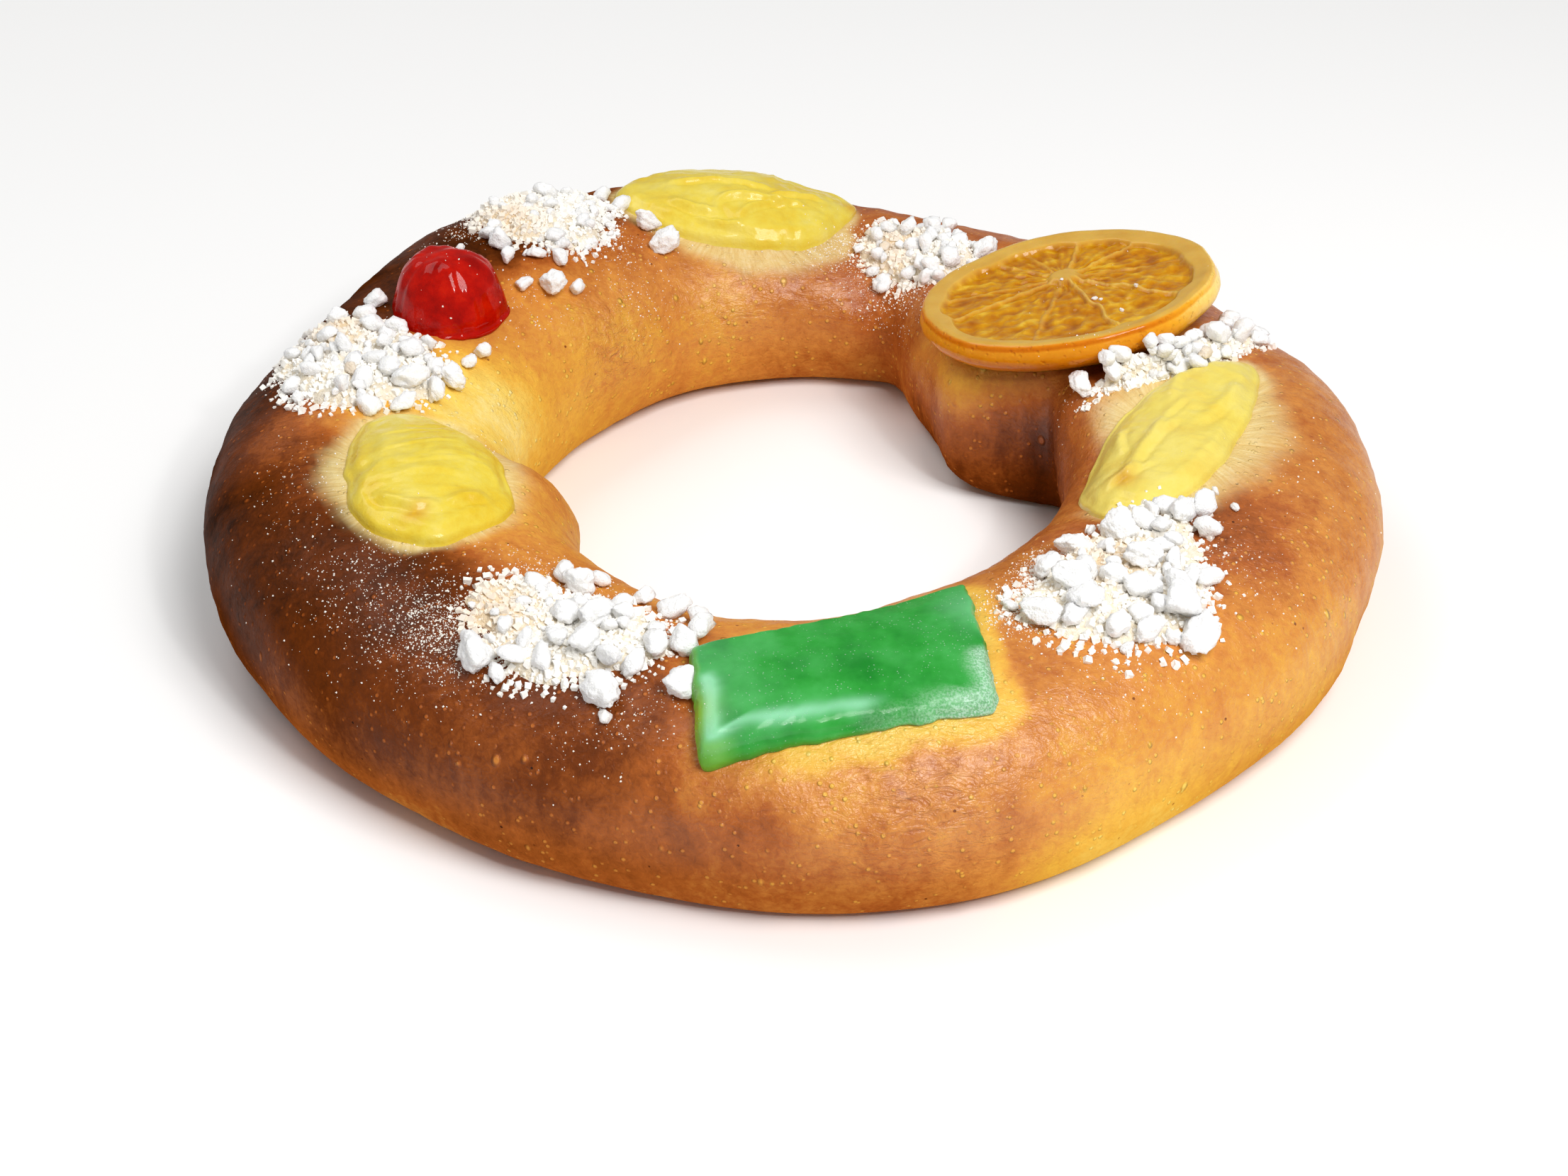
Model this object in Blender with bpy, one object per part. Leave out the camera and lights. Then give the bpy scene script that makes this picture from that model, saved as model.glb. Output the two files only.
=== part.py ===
"""Roscon de reyes: a ring of sweet bread with custard, candied fruit and pearl sugar on top."""
import math

import bpy
import numpy as np
from mathutils import Vector
from mathutils.bvhtree import BVHTree

# Lengths are in millimetres and angles in degrees until the meshes are made, which are in metres.
# The ring is laid out about the middle of its hole: +X to the right, +Y to the back, +Z up.
MM = 0.001

# Dough ring between its swellings
INNER_RADIUS = 57.5
OUTER_RADIUS = 121.0
HEIGHT = 39.5
WAIST = 0.45          # height of the widest line, as a share of the height
UNDERCUT = 0.64       # share of the lower half's roundness kept above the flat base
ROUNDNESS = 2.2       # superellipse power of the section
RING_STEPS = 96
TOP_STEPS = 16
SIDE_STEPS = 3
BASE_STEPS = 4

# Swellings of the dough: angle, half width, and what each adds to inner radius, outer radius, height
SWELLINGS = [
    (8, 14, 0.0, 0.0, 1.5),
    (24, 17, 0.0, -5.0, 0.0),
    (32, 19, -16.5, -2.0, -0.5),
    (58, 17, -3.0, -6.5, -5.5),
    (78, 15, 9.0, -4.5, -6.5),
    (105, 20, 8.0, 4.0, -1.0),
    (130, 15, 0.5, 3.0, 3.0),
    (153, 14, 0.0, -2.0, 0.0),
    (178, 14, 0.0, 1.5, 0.0),
    (202, 15, -10.0, 0.0, 3.5),
    (228, 14, -3.5, -3.0, 0.0),
    (248, 14, 1.0, -2.5, -1.0),
    (272, 18, 4.5, 2.5, -1.5),
    (290, 12, 0.0, 2.5, 0.0),
    (340, 20, 1.0, 2.5, 0.5),
]

# Shoulder of the fat lobe on the right: angle, half width, added roundness of its inner top
SHOULDER = (25, 32, 2.0)

# Folds where two ends of dough meet: angle, half width, depth, how far round the section they reach
FOLDS = [
    (70, 5.5, 7.0, 0.5),
    (14, 5.0, 6.0, 0.4),
]

# Slow waves of the hand-shaped dough: turns round the ring, turns round the section, phase, height
WAVES = [
    (5, 1, 0.4, 0.5),
    (9, 2, 1.9, 0.35),
    (14, 3, 4.2, 0.22),
]

GAP = 0.6            # between the dough and what lies on it
RAY_START = 60.0

# Custard pools: centre, heading of the long axis, half length, half width, lean of the pool's up
# direction away from the hole, crown and rim thickness, and depth of the hollow they lie in
CUSTARDS = {
    "custard_left": dict(centre=(-72.2, -30), heading=103, half=(25.5, 15), lean=0,
                         crown=3.6, rim=1.6, hollow=1.6, egg=0.10),
    "custard_back": dict(centre=(-11, 95), heading=178, half=(26.5, 18), lean=14,
                         crown=3.8, rim=1.6, hollow=1.6, egg=-0.05),
    "custard_right": dict(centre=(77.5, -16.5), heading=58, half=(30.5, 12.0), lean=0,
                          crown=3.8, rim=1.6, hollow=1.6, egg=-0.08),
}
POOL_RINGS = 6
POOL_SECTORS = 22

# Orange slice: a round of candied fruit lying on the fat lobe, its right and front sides a little high
SLICE_CENTRE = (61.0, 39.5, 43.0)
SLICE_RADIUS = 30.4
SLICE_FOOT_RADIUS = 31.4
SLICE_THICKNESS = 5.6
SLICE_NORMAL = (-0.158, 0.123, 0.98)
SLICE_SECTORS = 40
SLICE_RIM = 0.7

# Candied cherry half, squashed and sunk a little into the dough
CHERRY_CENTRE = (-72.3, 40.0)
CHERRY_HALF = (12.5, 12.5)
CHERRY_HEIGHT = 9.4
CHERRY_SECTORS = 20
CHERRY_PROFILE = [(0.84, 0.0), (0.97, 0.16), (1.0, 0.36), (0.95, 0.58), (0.80, 0.80), (0.52, 0.95), (0.22, 1.0)]

# Green candied strip: its corners in plan, from the left end of the inner edge clockwise
STRIP_CORNERS = [(-18.5, -88.5), (32.3, -68.2), (36.2, -103.5), (-16.5, -114.0)]
STRIP_LEAN = 28
STRIP_THICKNESS = (4.8, 3.0)      # left end, right end
STRIP_STEPS = (11, 8)
STRIP_BEVEL = 0.09

# Heaps of pearl sugar: centre, heading, half length, half width, lean, peak height
SUGAR_HEAPS = {
    "sugar_back_left": dict(centre=(-54, 78), heading=30, half=(16, 16.5), lean=6, peak=5.0),
    "sugar_left": dict(centre=(-91.5, 19), heading=120, half=(23, 17), lean=10, peak=5.5),
    "sugar_front_left": dict(centre=(-42, -79.5), heading=155, half=(22, 14), lean=0, peak=5.0),
    "sugar_back_right": dict(centre=(30.5, 78), heading=135, half=(16.5, 10.5), lean=0, peak=5.0),
    "sugar_right": dict(centre=(82, 11.2), heading=26, half=(22, 4.1), lean=0, peak=4.0),
    "sugar_front_right": dict(centre=(62, -68), heading=56, half=(25, 17.5), lean=0, peak=5.5),
}
HEAP_RINGS = 4
HEAP_SECTORS = 18
HEAP_RIM = 0.8
HEAP_GAP = 1.1          # a heap lies loosely, so its underside keeps a little more room


def wrap(angle):
    return (angle + 180.0) % 360.0 - 180.0


def hump(angle, at, half_width):
    return math.exp(-(wrap(angle - at) / half_width) ** 2)


def smooth(value):
    value = min(max(value, 0.0), 1.0)
    return value * value * (3.0 - 2.0 * value)


def clear_scene():
    for item in list(bpy.data.objects):
        bpy.data.objects.remove(item, do_unlink=True)


def material(name, colour, roughness, metallic=0.0):
    made = bpy.data.materials.new(name)
    made.use_nodes = True
    shader = made.node_tree.nodes["Principled BSDF"]
    shader.inputs["Base Color"].default_value = (*colour, 1.0)
    shader.inputs["Roughness"].default_value = roughness
    shader.inputs["Metallic"].default_value = metallic
    return made


def add_object(name, points, faces, look):
    mesh = bpy.data.meshes.new(name)
    mesh.from_pydata([tuple(MM * c for c in p) for p in points], [], faces)
    mesh.update()
    mesh.shade_smooth()
    mesh.materials.append(look)
    made = bpy.data.objects.new(name, mesh)
    bpy.context.scene.collection.objects.link(made)
    return made


# --- the dough ring ---

def ring_size(angle):
    inner, outer, height = INNER_RADIUS, OUTER_RADIUS, HEIGHT
    for at, half_width, more_inner, more_outer, more_height in SWELLINGS:
        share = hump(angle, at, half_width)
        inner += more_inner * share
        outer += more_outer * share
        height += more_height * share
    return inner, outer, height


def section_angles():
    """Angles round the section: over the top, down the inner side, across the base, up the outer side."""
    top = np.linspace(0.0, math.pi, TOP_STEPS + 1)[:-1]
    base_angle = math.asin(UNDERCUT ** (ROUNDNESS / 2.0))
    side = np.linspace(0.0, base_angle, SIDE_STEPS + 1)
    reach = math.cos(base_angle)
    base = np.arccos(np.linspace(-reach, reach, BASE_STEPS + 1)[1:-1])
    return list(top) + list(math.pi + side) + list(-base) + list(-side[:0:-1])


def section_power(angle, across):
    at, half_width, added = SHOULDER
    return ROUNDNESS + added * hump(angle, at, half_width) * smooth(0.2 - across * 1.2)


def fold_depth(angle, across):
    depth = 0.0
    for at, half_width, deepest, reach in FOLDS:
        inward = min(max((reach - across) / (1.0 + reach), 0.0), 1.0)
        depth += deepest * inward * math.exp(-abs(wrap(angle - at) / half_width) ** 1.3)
    return depth


def wave_height(angle, turn):
    total = 0.0
    for around, about, phase, height in WAVES:
        total += height * math.sin(around * math.radians(angle) + about * turn + phase)
    return total


def dough_point(angle, turn):
    """A point of the ring's surface, with the axis point of its section."""
    inner, outer, height = ring_size(angle)
    middle = (inner + outer) / 2.0
    half = (outer - inner) / 2.0
    waist = WAIST * height
    cosine, sine = math.cos(turn), math.sin(turn)
    power = section_power(angle, cosine) if sine > 0.0 else ROUNDNESS
    across = math.copysign(abs(cosine) ** (2.0 / power), cosine)
    rise = abs(sine) ** (2.0 / power)
    radius = middle + half * across
    if sine >= 0.0:
        level = waist + (height - waist) * rise
    else:
        level = max(waist - waist / UNDERCUT * rise, 0.0)
    direction = Vector((math.cos(math.radians(angle)), math.sin(math.radians(angle)), 0.0))
    axis = direction * middle + Vector((0.0, 0.0, waist))
    point = direction * radius + Vector((0.0, 0.0, level))
    arm = point - axis
    fold = fold_depth(angle, across)
    if level < 1e-6:
        arm.x *= 1.0 - fold / arm.length
        arm.y *= 1.0 - fold / arm.length
        return axis + arm
    return axis + arm * (1.0 + (wave_height(angle, turn) - fold) / arm.length)


def pool_frame(piece, surface):
    """Origin on the dough, long and short axes, and up direction of a thing that lies on the ring."""
    x, y = piece["centre"]
    away = Vector((x, y, 0.0)).normalized()
    lean = math.radians(piece["lean"])
    up = away * math.sin(lean) + Vector((0.0, 0.0, math.cos(lean)))
    heading = math.radians(piece["heading"])
    along = Vector((math.cos(heading), math.sin(heading), 0.0))
    along = (along - up * along.dot(up)).normalized()
    beside = up.cross(along)
    origin = surface.ray_cast(Vector((x, y, RAY_START)), Vector((0.0, 0.0, -1.0)))[0]
    return origin, along, beside, up


def hollow_points(points, surface):
    """Sinks the dough a little under each custard pool."""
    for piece in CUSTARDS.values():
        origin, along, beside, up = pool_frame(piece, surface)
        for index, point in enumerate(points):
            arm = point - origin
            if point.z < HEIGHT / 3.0 or arm.length > 2.0 * piece["half"][0]:
                continue
            share = math.hypot(arm.dot(along) / piece["half"][0], arm.dot(beside) / piece["half"][1])
            points[index] = point - up * piece["hollow"] * smooth((1.35 - share) / 0.5)


def slice_frame():
    up = Vector(SLICE_NORMAL).normalized()
    along = Vector((0.0, 1.0, 0.0)).cross(up).normalized()
    return Vector(SLICE_CENTRE), along, up.cross(along), up


def seat_points(points):
    """Presses the dough flat under the orange slice."""
    centre, along, beside, up = slice_frame()
    foot = centre - up * (SLICE_THICKNESS + GAP)
    for index, point in enumerate(points):
        arm = point - foot
        above = arm.dot(up)
        radius = math.hypot(arm.dot(along), arm.dot(beside))
        if above > 0.0 and point.z > HEIGHT / 2.0 and radius < SLICE_FOOT_RADIUS + 7.0:
            points[index] = point - up * above


def ring_faces(turns):
    faces = []
    for i in range(RING_STEPS):
        after = (i + 1) % RING_STEPS
        for j in range(turns):
            beyond = (j + 1) % turns
            faces.append((i * turns + j, after * turns + j, after * turns + beyond, i * turns + beyond))
    return faces


def surface_of(points, faces):
    return BVHTree.FromPolygons([tuple(p) for p in points], faces)


def make_dough(look):
    turns = section_angles()
    points = [dough_point(360.0 * i / RING_STEPS, turn) for i in range(RING_STEPS) for turn in turns]
    faces = ring_faces(len(turns))
    hollow_points(points, surface_of(points, faces))
    seat_points(points)
    add_object("bread", points, faces, look)
    return surface_of(points, faces)


# --- what lies on the ring ---

def drop(surface, start, up, gap=GAP):
    """Where the surface lies below a point, raised by the gap."""
    hit, normal, _, _ = surface.ray_cast(start + up * RAY_START, -up)
    if hit is None:
        return None
    tilt = max(normal.dot(up), 0.35)
    return hit + up * (gap / tilt)


def disc_faces(rings, sectors):
    """Faces of a closed round solid: an underside and a top, each of rings of points and a middle."""
    faces = []
    for side in range(2):
        first = side * (rings * sectors + 1)
        hub = first + rings * sectors
        for j in range(sectors):
            beyond = (j + 1) % sectors
            for i in range(rings - 1):
                a, b = first + i * sectors, first + (i + 1) * sectors
                quad = (a + j, b + j, b + beyond, a + beyond)
                faces.append(quad if side == 0 else quad[::-1])
            last = first + (rings - 1) * sectors
            fan = (last + j, hub, last + beyond)
            faces.append(fan if side == 0 else fan[::-1])
    top = rings * sectors + 1
    for j in range(sectors):
        beyond = (j + 1) % sectors
        faces.append((j, beyond, top + beyond, top + j))
    return faces


def egg_outline(turn, half, egg, wobble, seed):
    """An egg-shaped outline, fuller at one end, with a slow uneven edge."""
    radius = 1.0 + wobble * math.sin(3 * turn + seed) + 0.6 * wobble * math.sin(5 * turn + 2.1 * seed)
    x = half[0] * radius * math.cos(turn)
    y = half[1] * radius * math.sin(turn) * (1.0 + egg * math.cos(turn))
    return x, y


def lay_disc(name, piece, surface, look, rings, sectors, outline, thickness, gap=GAP):
    """A closed solid whose underside follows the dough and whose top is laid over it."""
    origin, along, beside, up = pool_frame(piece, surface)
    under, over = [], []
    for i in range(rings):
        share = 1.0 - i / rings
        for j in range(sectors):
            turn = 2.0 * math.pi * j / sectors
            x, y = outline(turn)
            foot = drop(surface, origin + along * x * share + beside * y * share, up, gap)
            under.append(foot)
            over.append(foot + up * thickness(share, turn))
    hub = drop(surface, origin, up, gap)
    points = under + [hub] + over + [hub + up * thickness(0.0, 0.0)]
    add_object(name, points, disc_faces(rings, sectors), look)


def make_custards(surface, look):
    for number, (name, piece) in enumerate(CUSTARDS.items()):
        def outline(turn, piece=piece, number=number):
            return egg_outline(turn, piece["half"], piece["egg"], 0.03, number)

        def thickness(share, turn, piece=piece):
            fullness = math.sqrt(max(1.0 - share ** 3, 0.0))
            return piece["rim"] + (piece["crown"] - piece["rim"]) * fullness

        lay_disc(name, piece, surface, look, POOL_RINGS, POOL_SECTORS, outline, thickness)


def lumps(x, y, seed):
    """Uneven height of a heap of nibs, between 0 and 1."""
    value = math.sin(0.55 * x + seed) * math.sin(0.61 * y + 1.7 * seed)
    value += 0.6 * math.sin(0.93 * x - 0.4 * y + 2.9 * seed)
    return 0.5 + value / 3.2


def make_sugar(surface, look):
    for number, (name, piece) in enumerate(SUGAR_HEAPS.items()):
        seed = 1.3 * number + 0.4

        def outline(turn, piece=piece, seed=seed):
            return egg_outline(turn, piece["half"], 0.0, 0.08, seed)

        def thickness(share, turn, piece=piece, seed=seed):
            x, y = outline(turn, piece, seed)
            fullness = math.sqrt(max(1.0 - share ** 2, 0.0))
            swell = 0.55 + 0.45 * lumps(x * share, y * share, seed)
            return HEAP_RIM + (piece["peak"] - HEAP_RIM) * fullness * swell

        lay_disc(name, piece, surface, look, HEAP_RINGS, HEAP_SECTORS, outline, thickness, HEAP_GAP)


def make_cherry(surface, look):
    """A squashed half cherry: the underside follows the dough, the sides bulge past it."""
    piece = dict(centre=CHERRY_CENTRE, heading=90, lean=0)
    origin, along, beside, up = pool_frame(piece, surface)
    rings = len(CHERRY_PROFILE)
    under, over = [], []
    for i, (share, rise) in enumerate(CHERRY_PROFILE):
        for j in range(CHERRY_SECTORS):
            turn = 2.0 * math.pi * j / CHERRY_SECTORS
            x, y = egg_outline(turn, CHERRY_HALF[::-1], 0.08, 0.03, 0.7)
            foot_share = CHERRY_PROFILE[0][0] * (1.0 - i / rings)
            foot = drop(surface, origin + along * x * foot_share + beside * y * foot_share, up)
            under.append(foot)
            side = origin + along * x * share + beside * y * share
            flat = side + up * (GAP + 0.8 + rise * CHERRY_HEIGHT)
            low = drop(surface, side, up) + up * (0.8 + rise * CHERRY_HEIGHT)
            over.append(low.lerp(flat, smooth(rise * 1.6)))
    hub = drop(surface, origin, up)
    points = under + [hub] + over + [origin + up * (GAP + 0.8 + CHERRY_HEIGHT)]
    add_object("cherry", points, disc_faces(rings, CHERRY_SECTORS), look)


def make_slice(look):
    """A round slice with a softly bevelled rim, a little wider at its foot."""
    centre, along, beside, up = slice_frame()
    levels = [
        (SLICE_FOOT_RADIUS, -SLICE_THICKNESS),
        (SLICE_FOOT_RADIUS + 0.3, -SLICE_THICKNESS + 1.0),
        (SLICE_RADIUS + 0.2, -SLICE_RIM),
        (SLICE_RADIUS - SLICE_RIM, 0.0),
        (SLICE_RADIUS - 3.5, -0.2),
        (SLICE_RADIUS - 5.0, -0.6),
        (SLICE_RADIUS * 0.45, -0.6),
    ]
    points, faces = [], []
    for radius, level in levels:
        for j in range(SLICE_SECTORS):
            turn = 2.0 * math.pi * j / SLICE_SECTORS
            reach = radius * (1.0 + 0.012 * math.sin(2 * turn + 0.6) + 0.008 * math.sin(5 * turn))
            points.append(centre + along * reach * math.cos(turn) + beside * reach * math.sin(turn) + up * level)
    rows = len(levels)
    for i in range(rows - 1):
        for j in range(SLICE_SECTORS):
            beyond = (j + 1) % SLICE_SECTORS
            a, b = i * SLICE_SECTORS, (i + 1) * SLICE_SECTORS
            faces.append((a + j, a + beyond, b + beyond, b + j))
    points.append(centre - up * SLICE_THICKNESS)
    points.append(centre - up * 0.3)
    last = (rows - 1) * SLICE_SECTORS
    for j in range(SLICE_SECTORS):
        beyond = (j + 1) % SLICE_SECTORS
        faces.append((beyond, j, len(points) - 2))
        faces.append((last + j, last + beyond, len(points) - 1))
    add_object("orange_slice", points, faces, look)


def strip_plan(across, down):
    """A point of the strip in plan: 0 to 1 from its left to right end and from inner to outer edge."""
    corners = [Vector((x, y, 0.0)) for x, y in STRIP_CORNERS]
    inner = corners[0].lerp(corners[1], across)
    outer = corners[3].lerp(corners[2], across)
    return inner.lerp(outer, down)


def make_strip(surface, look):
    """A slab of candied fruit draped over the ring, with slanting cut sides."""
    columns, rows = STRIP_STEPS
    middle = strip_plan(0.5, 0.5)
    lean = math.radians(STRIP_LEAN)
    up = middle.normalized() * math.sin(lean) + Vector((0.0, 0.0, math.cos(lean)))
    under, over = [], []
    for i in range(columns):
        for j in range(rows):
            across, down = i / (columns - 1), j / (rows - 1)
            thick = STRIP_THICKNESS[0] + (STRIP_THICKNESS[1] - STRIP_THICKNESS[0]) * smooth(across)
            under.append(strip_drop(surface, across, down, up))
            top_down = down * (1.0 - STRIP_BEVEL * (1.0 - across)) + 0.01 * (1.0 - down)
            top_across = 0.01 + 0.98 * across
            over.append(strip_drop(surface, top_across, top_down, up) + up * thick)
    add_object("green_strip", under + over, slab_faces(columns, rows), look)


def strip_drop(surface, across, down, up):
    """The place on the dough that a point of the strip's plan lies over, along the leaning direction."""
    plan = strip_plan(across, down)
    level = surface.ray_cast(plan + Vector((0.0, 0.0, RAY_START)), Vector((0.0, 0.0, -1.0)))[0]
    return drop(surface, level, up)


def slab_faces(columns, rows):
    faces = []
    shift = columns * rows
    for i in range(columns - 1):
        for j in range(rows - 1):
            a = i * rows + j
            quad = (a, a + 1, a + rows + 1, a + rows)
            faces.append(quad[::-1])
            faces.append(tuple(shift + k for k in quad))
    loop = [j for j in range(rows)]
    loop += [i * rows + rows - 1 for i in range(1, columns)]
    loop += [(columns - 1) * rows + j for j in range(rows - 2, -1, -1)]
    loop += [i * rows for i in range(columns - 2, 0, -1)]
    for here, after in zip(loop, loop[1:] + loop[:1]):
        faces.append((here, after, shift + after, shift + here))
    return faces


def centre_on_floor():
    """Puts the origin under the middle of the whole object, at the height of its flat base."""
    made = [item for item in bpy.data.objects if item.type == "MESH"]
    corners = np.array([v.co for item in made for v in item.data.vertices])
    low, high = corners.min(axis=0), corners.max(axis=0)
    shift = Vector(((low[0] + high[0]) / 2.0, (low[1] + high[1]) / 2.0, low[2]))
    for item in made:
        for vertex in item.data.vertices:
            vertex.co -= shift
        item.data.update()
    return shift


def main():
    clear_scene()
    crust = material("crust", (0.55, 0.22, 0.05), 0.45)
    custard = material("custard", (0.85, 0.66, 0.08), 0.25)
    candied_orange = material("candied_orange", (0.80, 0.32, 0.01), 0.2)
    candied_cherry = material("candied_cherry", (0.60, 0.01, 0.01), 0.15)
    candied_green = material("candied_green", (0.04, 0.42, 0.09), 0.3)
    sugar = material("sugar", (0.88, 0.86, 0.82), 0.7)
    surface = make_dough(crust)
    make_custards(surface, custard)
    make_slice(candied_orange)
    make_cherry(surface, candied_cherry)
    make_strip(surface, candied_green)
    make_sugar(surface, sugar)
    return centre_on_floor()


main()
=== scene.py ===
import math

import bmesh
import bpy
import numpy as np
from mathutils import Euler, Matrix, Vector
from mathutils.bvhtree import BVHTree
from mathutils.geometry import convex_hull_2d


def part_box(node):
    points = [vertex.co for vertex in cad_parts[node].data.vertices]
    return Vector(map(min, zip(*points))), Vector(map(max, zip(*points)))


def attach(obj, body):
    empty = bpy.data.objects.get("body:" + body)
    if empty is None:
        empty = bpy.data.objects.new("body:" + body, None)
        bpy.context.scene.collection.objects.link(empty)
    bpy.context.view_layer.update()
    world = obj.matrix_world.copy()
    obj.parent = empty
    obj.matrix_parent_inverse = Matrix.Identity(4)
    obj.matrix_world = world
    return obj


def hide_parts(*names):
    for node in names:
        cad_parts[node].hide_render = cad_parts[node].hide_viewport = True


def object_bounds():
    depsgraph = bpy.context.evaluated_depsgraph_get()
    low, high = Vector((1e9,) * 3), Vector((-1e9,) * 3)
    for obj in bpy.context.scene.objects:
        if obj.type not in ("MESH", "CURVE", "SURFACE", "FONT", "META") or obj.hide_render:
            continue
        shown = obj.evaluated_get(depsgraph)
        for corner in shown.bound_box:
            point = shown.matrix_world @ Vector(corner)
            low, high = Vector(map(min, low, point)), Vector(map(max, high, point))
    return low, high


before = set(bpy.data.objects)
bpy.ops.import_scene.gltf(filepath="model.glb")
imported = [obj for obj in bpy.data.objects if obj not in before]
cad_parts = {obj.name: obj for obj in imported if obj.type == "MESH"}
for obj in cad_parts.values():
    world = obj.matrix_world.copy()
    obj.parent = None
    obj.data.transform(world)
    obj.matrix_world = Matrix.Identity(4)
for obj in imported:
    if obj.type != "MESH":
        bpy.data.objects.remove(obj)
cadLow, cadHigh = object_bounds()
mm = 0.001
ringMiddle = np.array([(cadLow.x + cadHigh.x) / 2, (cadLow.y + cadHigh.y) / 2, 0.0])
middleMm = ringMiddle[:2] / mm
print("frame loaded", [round((b - a) / mm, 1) for a, b in zip(cadLow, cadHigh)])


# what scrambles the place of a cell of noise into its slope
scramblePlace = np.array([73856093, 19349663, 83492791])
scrambleSeed, scrambleFirst, scrambleSecond, scrambleKeep = 2654435, 1274126177, 668265263, 0x7FFFFFFF


def lumpNoise(points, size, seed):
    # smooth noise round zero, with lumps of about the given size
    cells = points / size
    low = np.floor(cells).astype(np.int64)
    part = cells - low
    ease = part ** 3 * (part * (part * 6 - 15) + 10)
    total = np.zeros(cells.shape[:-1])
    for corner in np.ndindex(2, 2, 2):
        mixed = np.bitwise_xor.reduce((low + corner) * scramblePlace, axis=-1) ^ seed * scrambleSeed
        mixed = (mixed ^ (mixed >> 13)) * scrambleFirst & scrambleKeep
        mixed = (mixed ^ (mixed >> 11)) * scrambleSecond & scrambleKeep
        slope = (mixed[..., None] >> np.array([0, 10, 20]) & 1023) / 511.5 - 1
        weight = np.prod(np.where(corner, ease, 1 - ease), axis=-1)
        total += weight * np.sum(slope * (part - corner), axis=-1)
    return total * 1.6


def layeredNoise(points, size, seed, layers=3):
    return sum(lumpNoise(points, size / 2 ** k, seed + k) / 2 ** k for k in range(layers))


def smoothed(grid, passes, axis, wrap):
    for _ in range(passes):
        if wrap:
            before, after = np.roll(grid, 1, axis), np.roll(grid, -1, axis)
        else:
            steps = np.arange(grid.shape[axis])
            before = np.take(grid, np.maximum(steps - 1, 0), axis)
            after = np.take(grid, np.minimum(steps + 1, len(steps) - 1), axis)
        grid = (before + 2 * grid + after) / 4
    return grid


def step(value, low, high):
    # 0 below low, 1 above high, smooth between; high may be the smaller one
    share = np.clip((value - low) / (high - low), 0, 1)
    return share * share * (3 - 2 * share)


def bell(value, width):
    return np.exp(-(value / width) ** 2)


def farFrom(points, place):
    return np.linalg.norm(points - place, axis=-1)


def wrapped(turn):
    return (turn + math.pi) % (2 * math.pi) - math.pi


def gridFaces(rows, columns, closeRows=False):
    # four-sided faces of a grid that closes on itself along its columns
    last = rows if closeRows else rows - 1
    row, column = np.meshgrid(np.arange(last), np.arange(columns), indexing="ij")
    below = (row + 1) % rows
    beside = (column + 1) % columns
    corners = [row * columns + column, below * columns + column, below * columns + beside, row * columns + beside]
    return np.stack(corners, -1).reshape(-1, 4).tolist()


def makePiece(name, points, faces, finish, nodes, marks, smooth=True):
    # a mesh that stands for CAD nodes, with a value at each point for every mark
    mesh = bpy.data.meshes.new(name)
    mesh.from_pydata(points.reshape(-1, 3).tolist(), [], faces)
    for mark, values in marks.items():
        kind, key = ("FLOAT", "value") if values.size == len(mesh.vertices) else ("FLOAT_VECTOR", "vector")
        mesh.attributes.new(mark, kind, "POINT").data.foreach_set(key, values.astype(np.float32).ravel())
    mesh.polygons.foreach_set("use_smooth", [smooth] * len(mesh.polygons))
    mesh.materials.append(finishes[finish])
    mesh.update()
    piece = bpy.data.objects.new(name, mesh)
    bpy.context.scene.collection.objects.link(piece)
    if nodes:
        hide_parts(*nodes)
    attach(piece, "root")
    return piece


def treeOf(piece):
    mesh = piece.data
    return BVHTree.FromPolygons([v.co for v in mesh.vertices], [tuple(p.vertices) for p in mesh.polygons])


class Wire:
    # a socket that can be used in sums
    def __init__(self, recipe, socket):
        self.recipe = recipe
        self.socket = socket

    def work(self, operation, first, second=0.0):
        return self.recipe.add("ShaderNodeMath", {"operation": operation}, {0: first, 1: second})

    def __add__(self, other):
        return self.work("ADD", self, other)

    def __radd__(self, other):
        return self.work("ADD", other, self)

    def __sub__(self, other):
        return self.work("SUBTRACT", self, other)

    def __rsub__(self, other):
        return self.work("SUBTRACT", other, self)

    def __mul__(self, other):
        return self.work("MULTIPLY", self, other)

    def __rmul__(self, other):
        return self.work("MULTIPLY", other, self)

    def __pow__(self, other):
        return self.work("POWER", self, other)

    def size(self):
        return self.work("ABSOLUTE", self)

    def top(self, other):
        return self.work("MAXIMUM", self, other)

    def span(self, low, high, start=0.0, end=1.0):
        return self.recipe.add(
            "ShaderNodeMapRange", {"interpolation_type": "SMOOTHSTEP", "clamp": True},
            {"Value": self, "From Min": low, "From Max": high, "To Min": start, "To Max": end})


def tone(colour):
    # a colour as it looks, turned into light; a socket stays as it is
    if isinstance(colour, Wire):
        return colour
    parts = [c / 255 for c in colour]
    return [c / 12.92 if c < 0.04045 else ((c + 0.055) / 1.055) ** 2.4 for c in parts] + [1.0]


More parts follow.
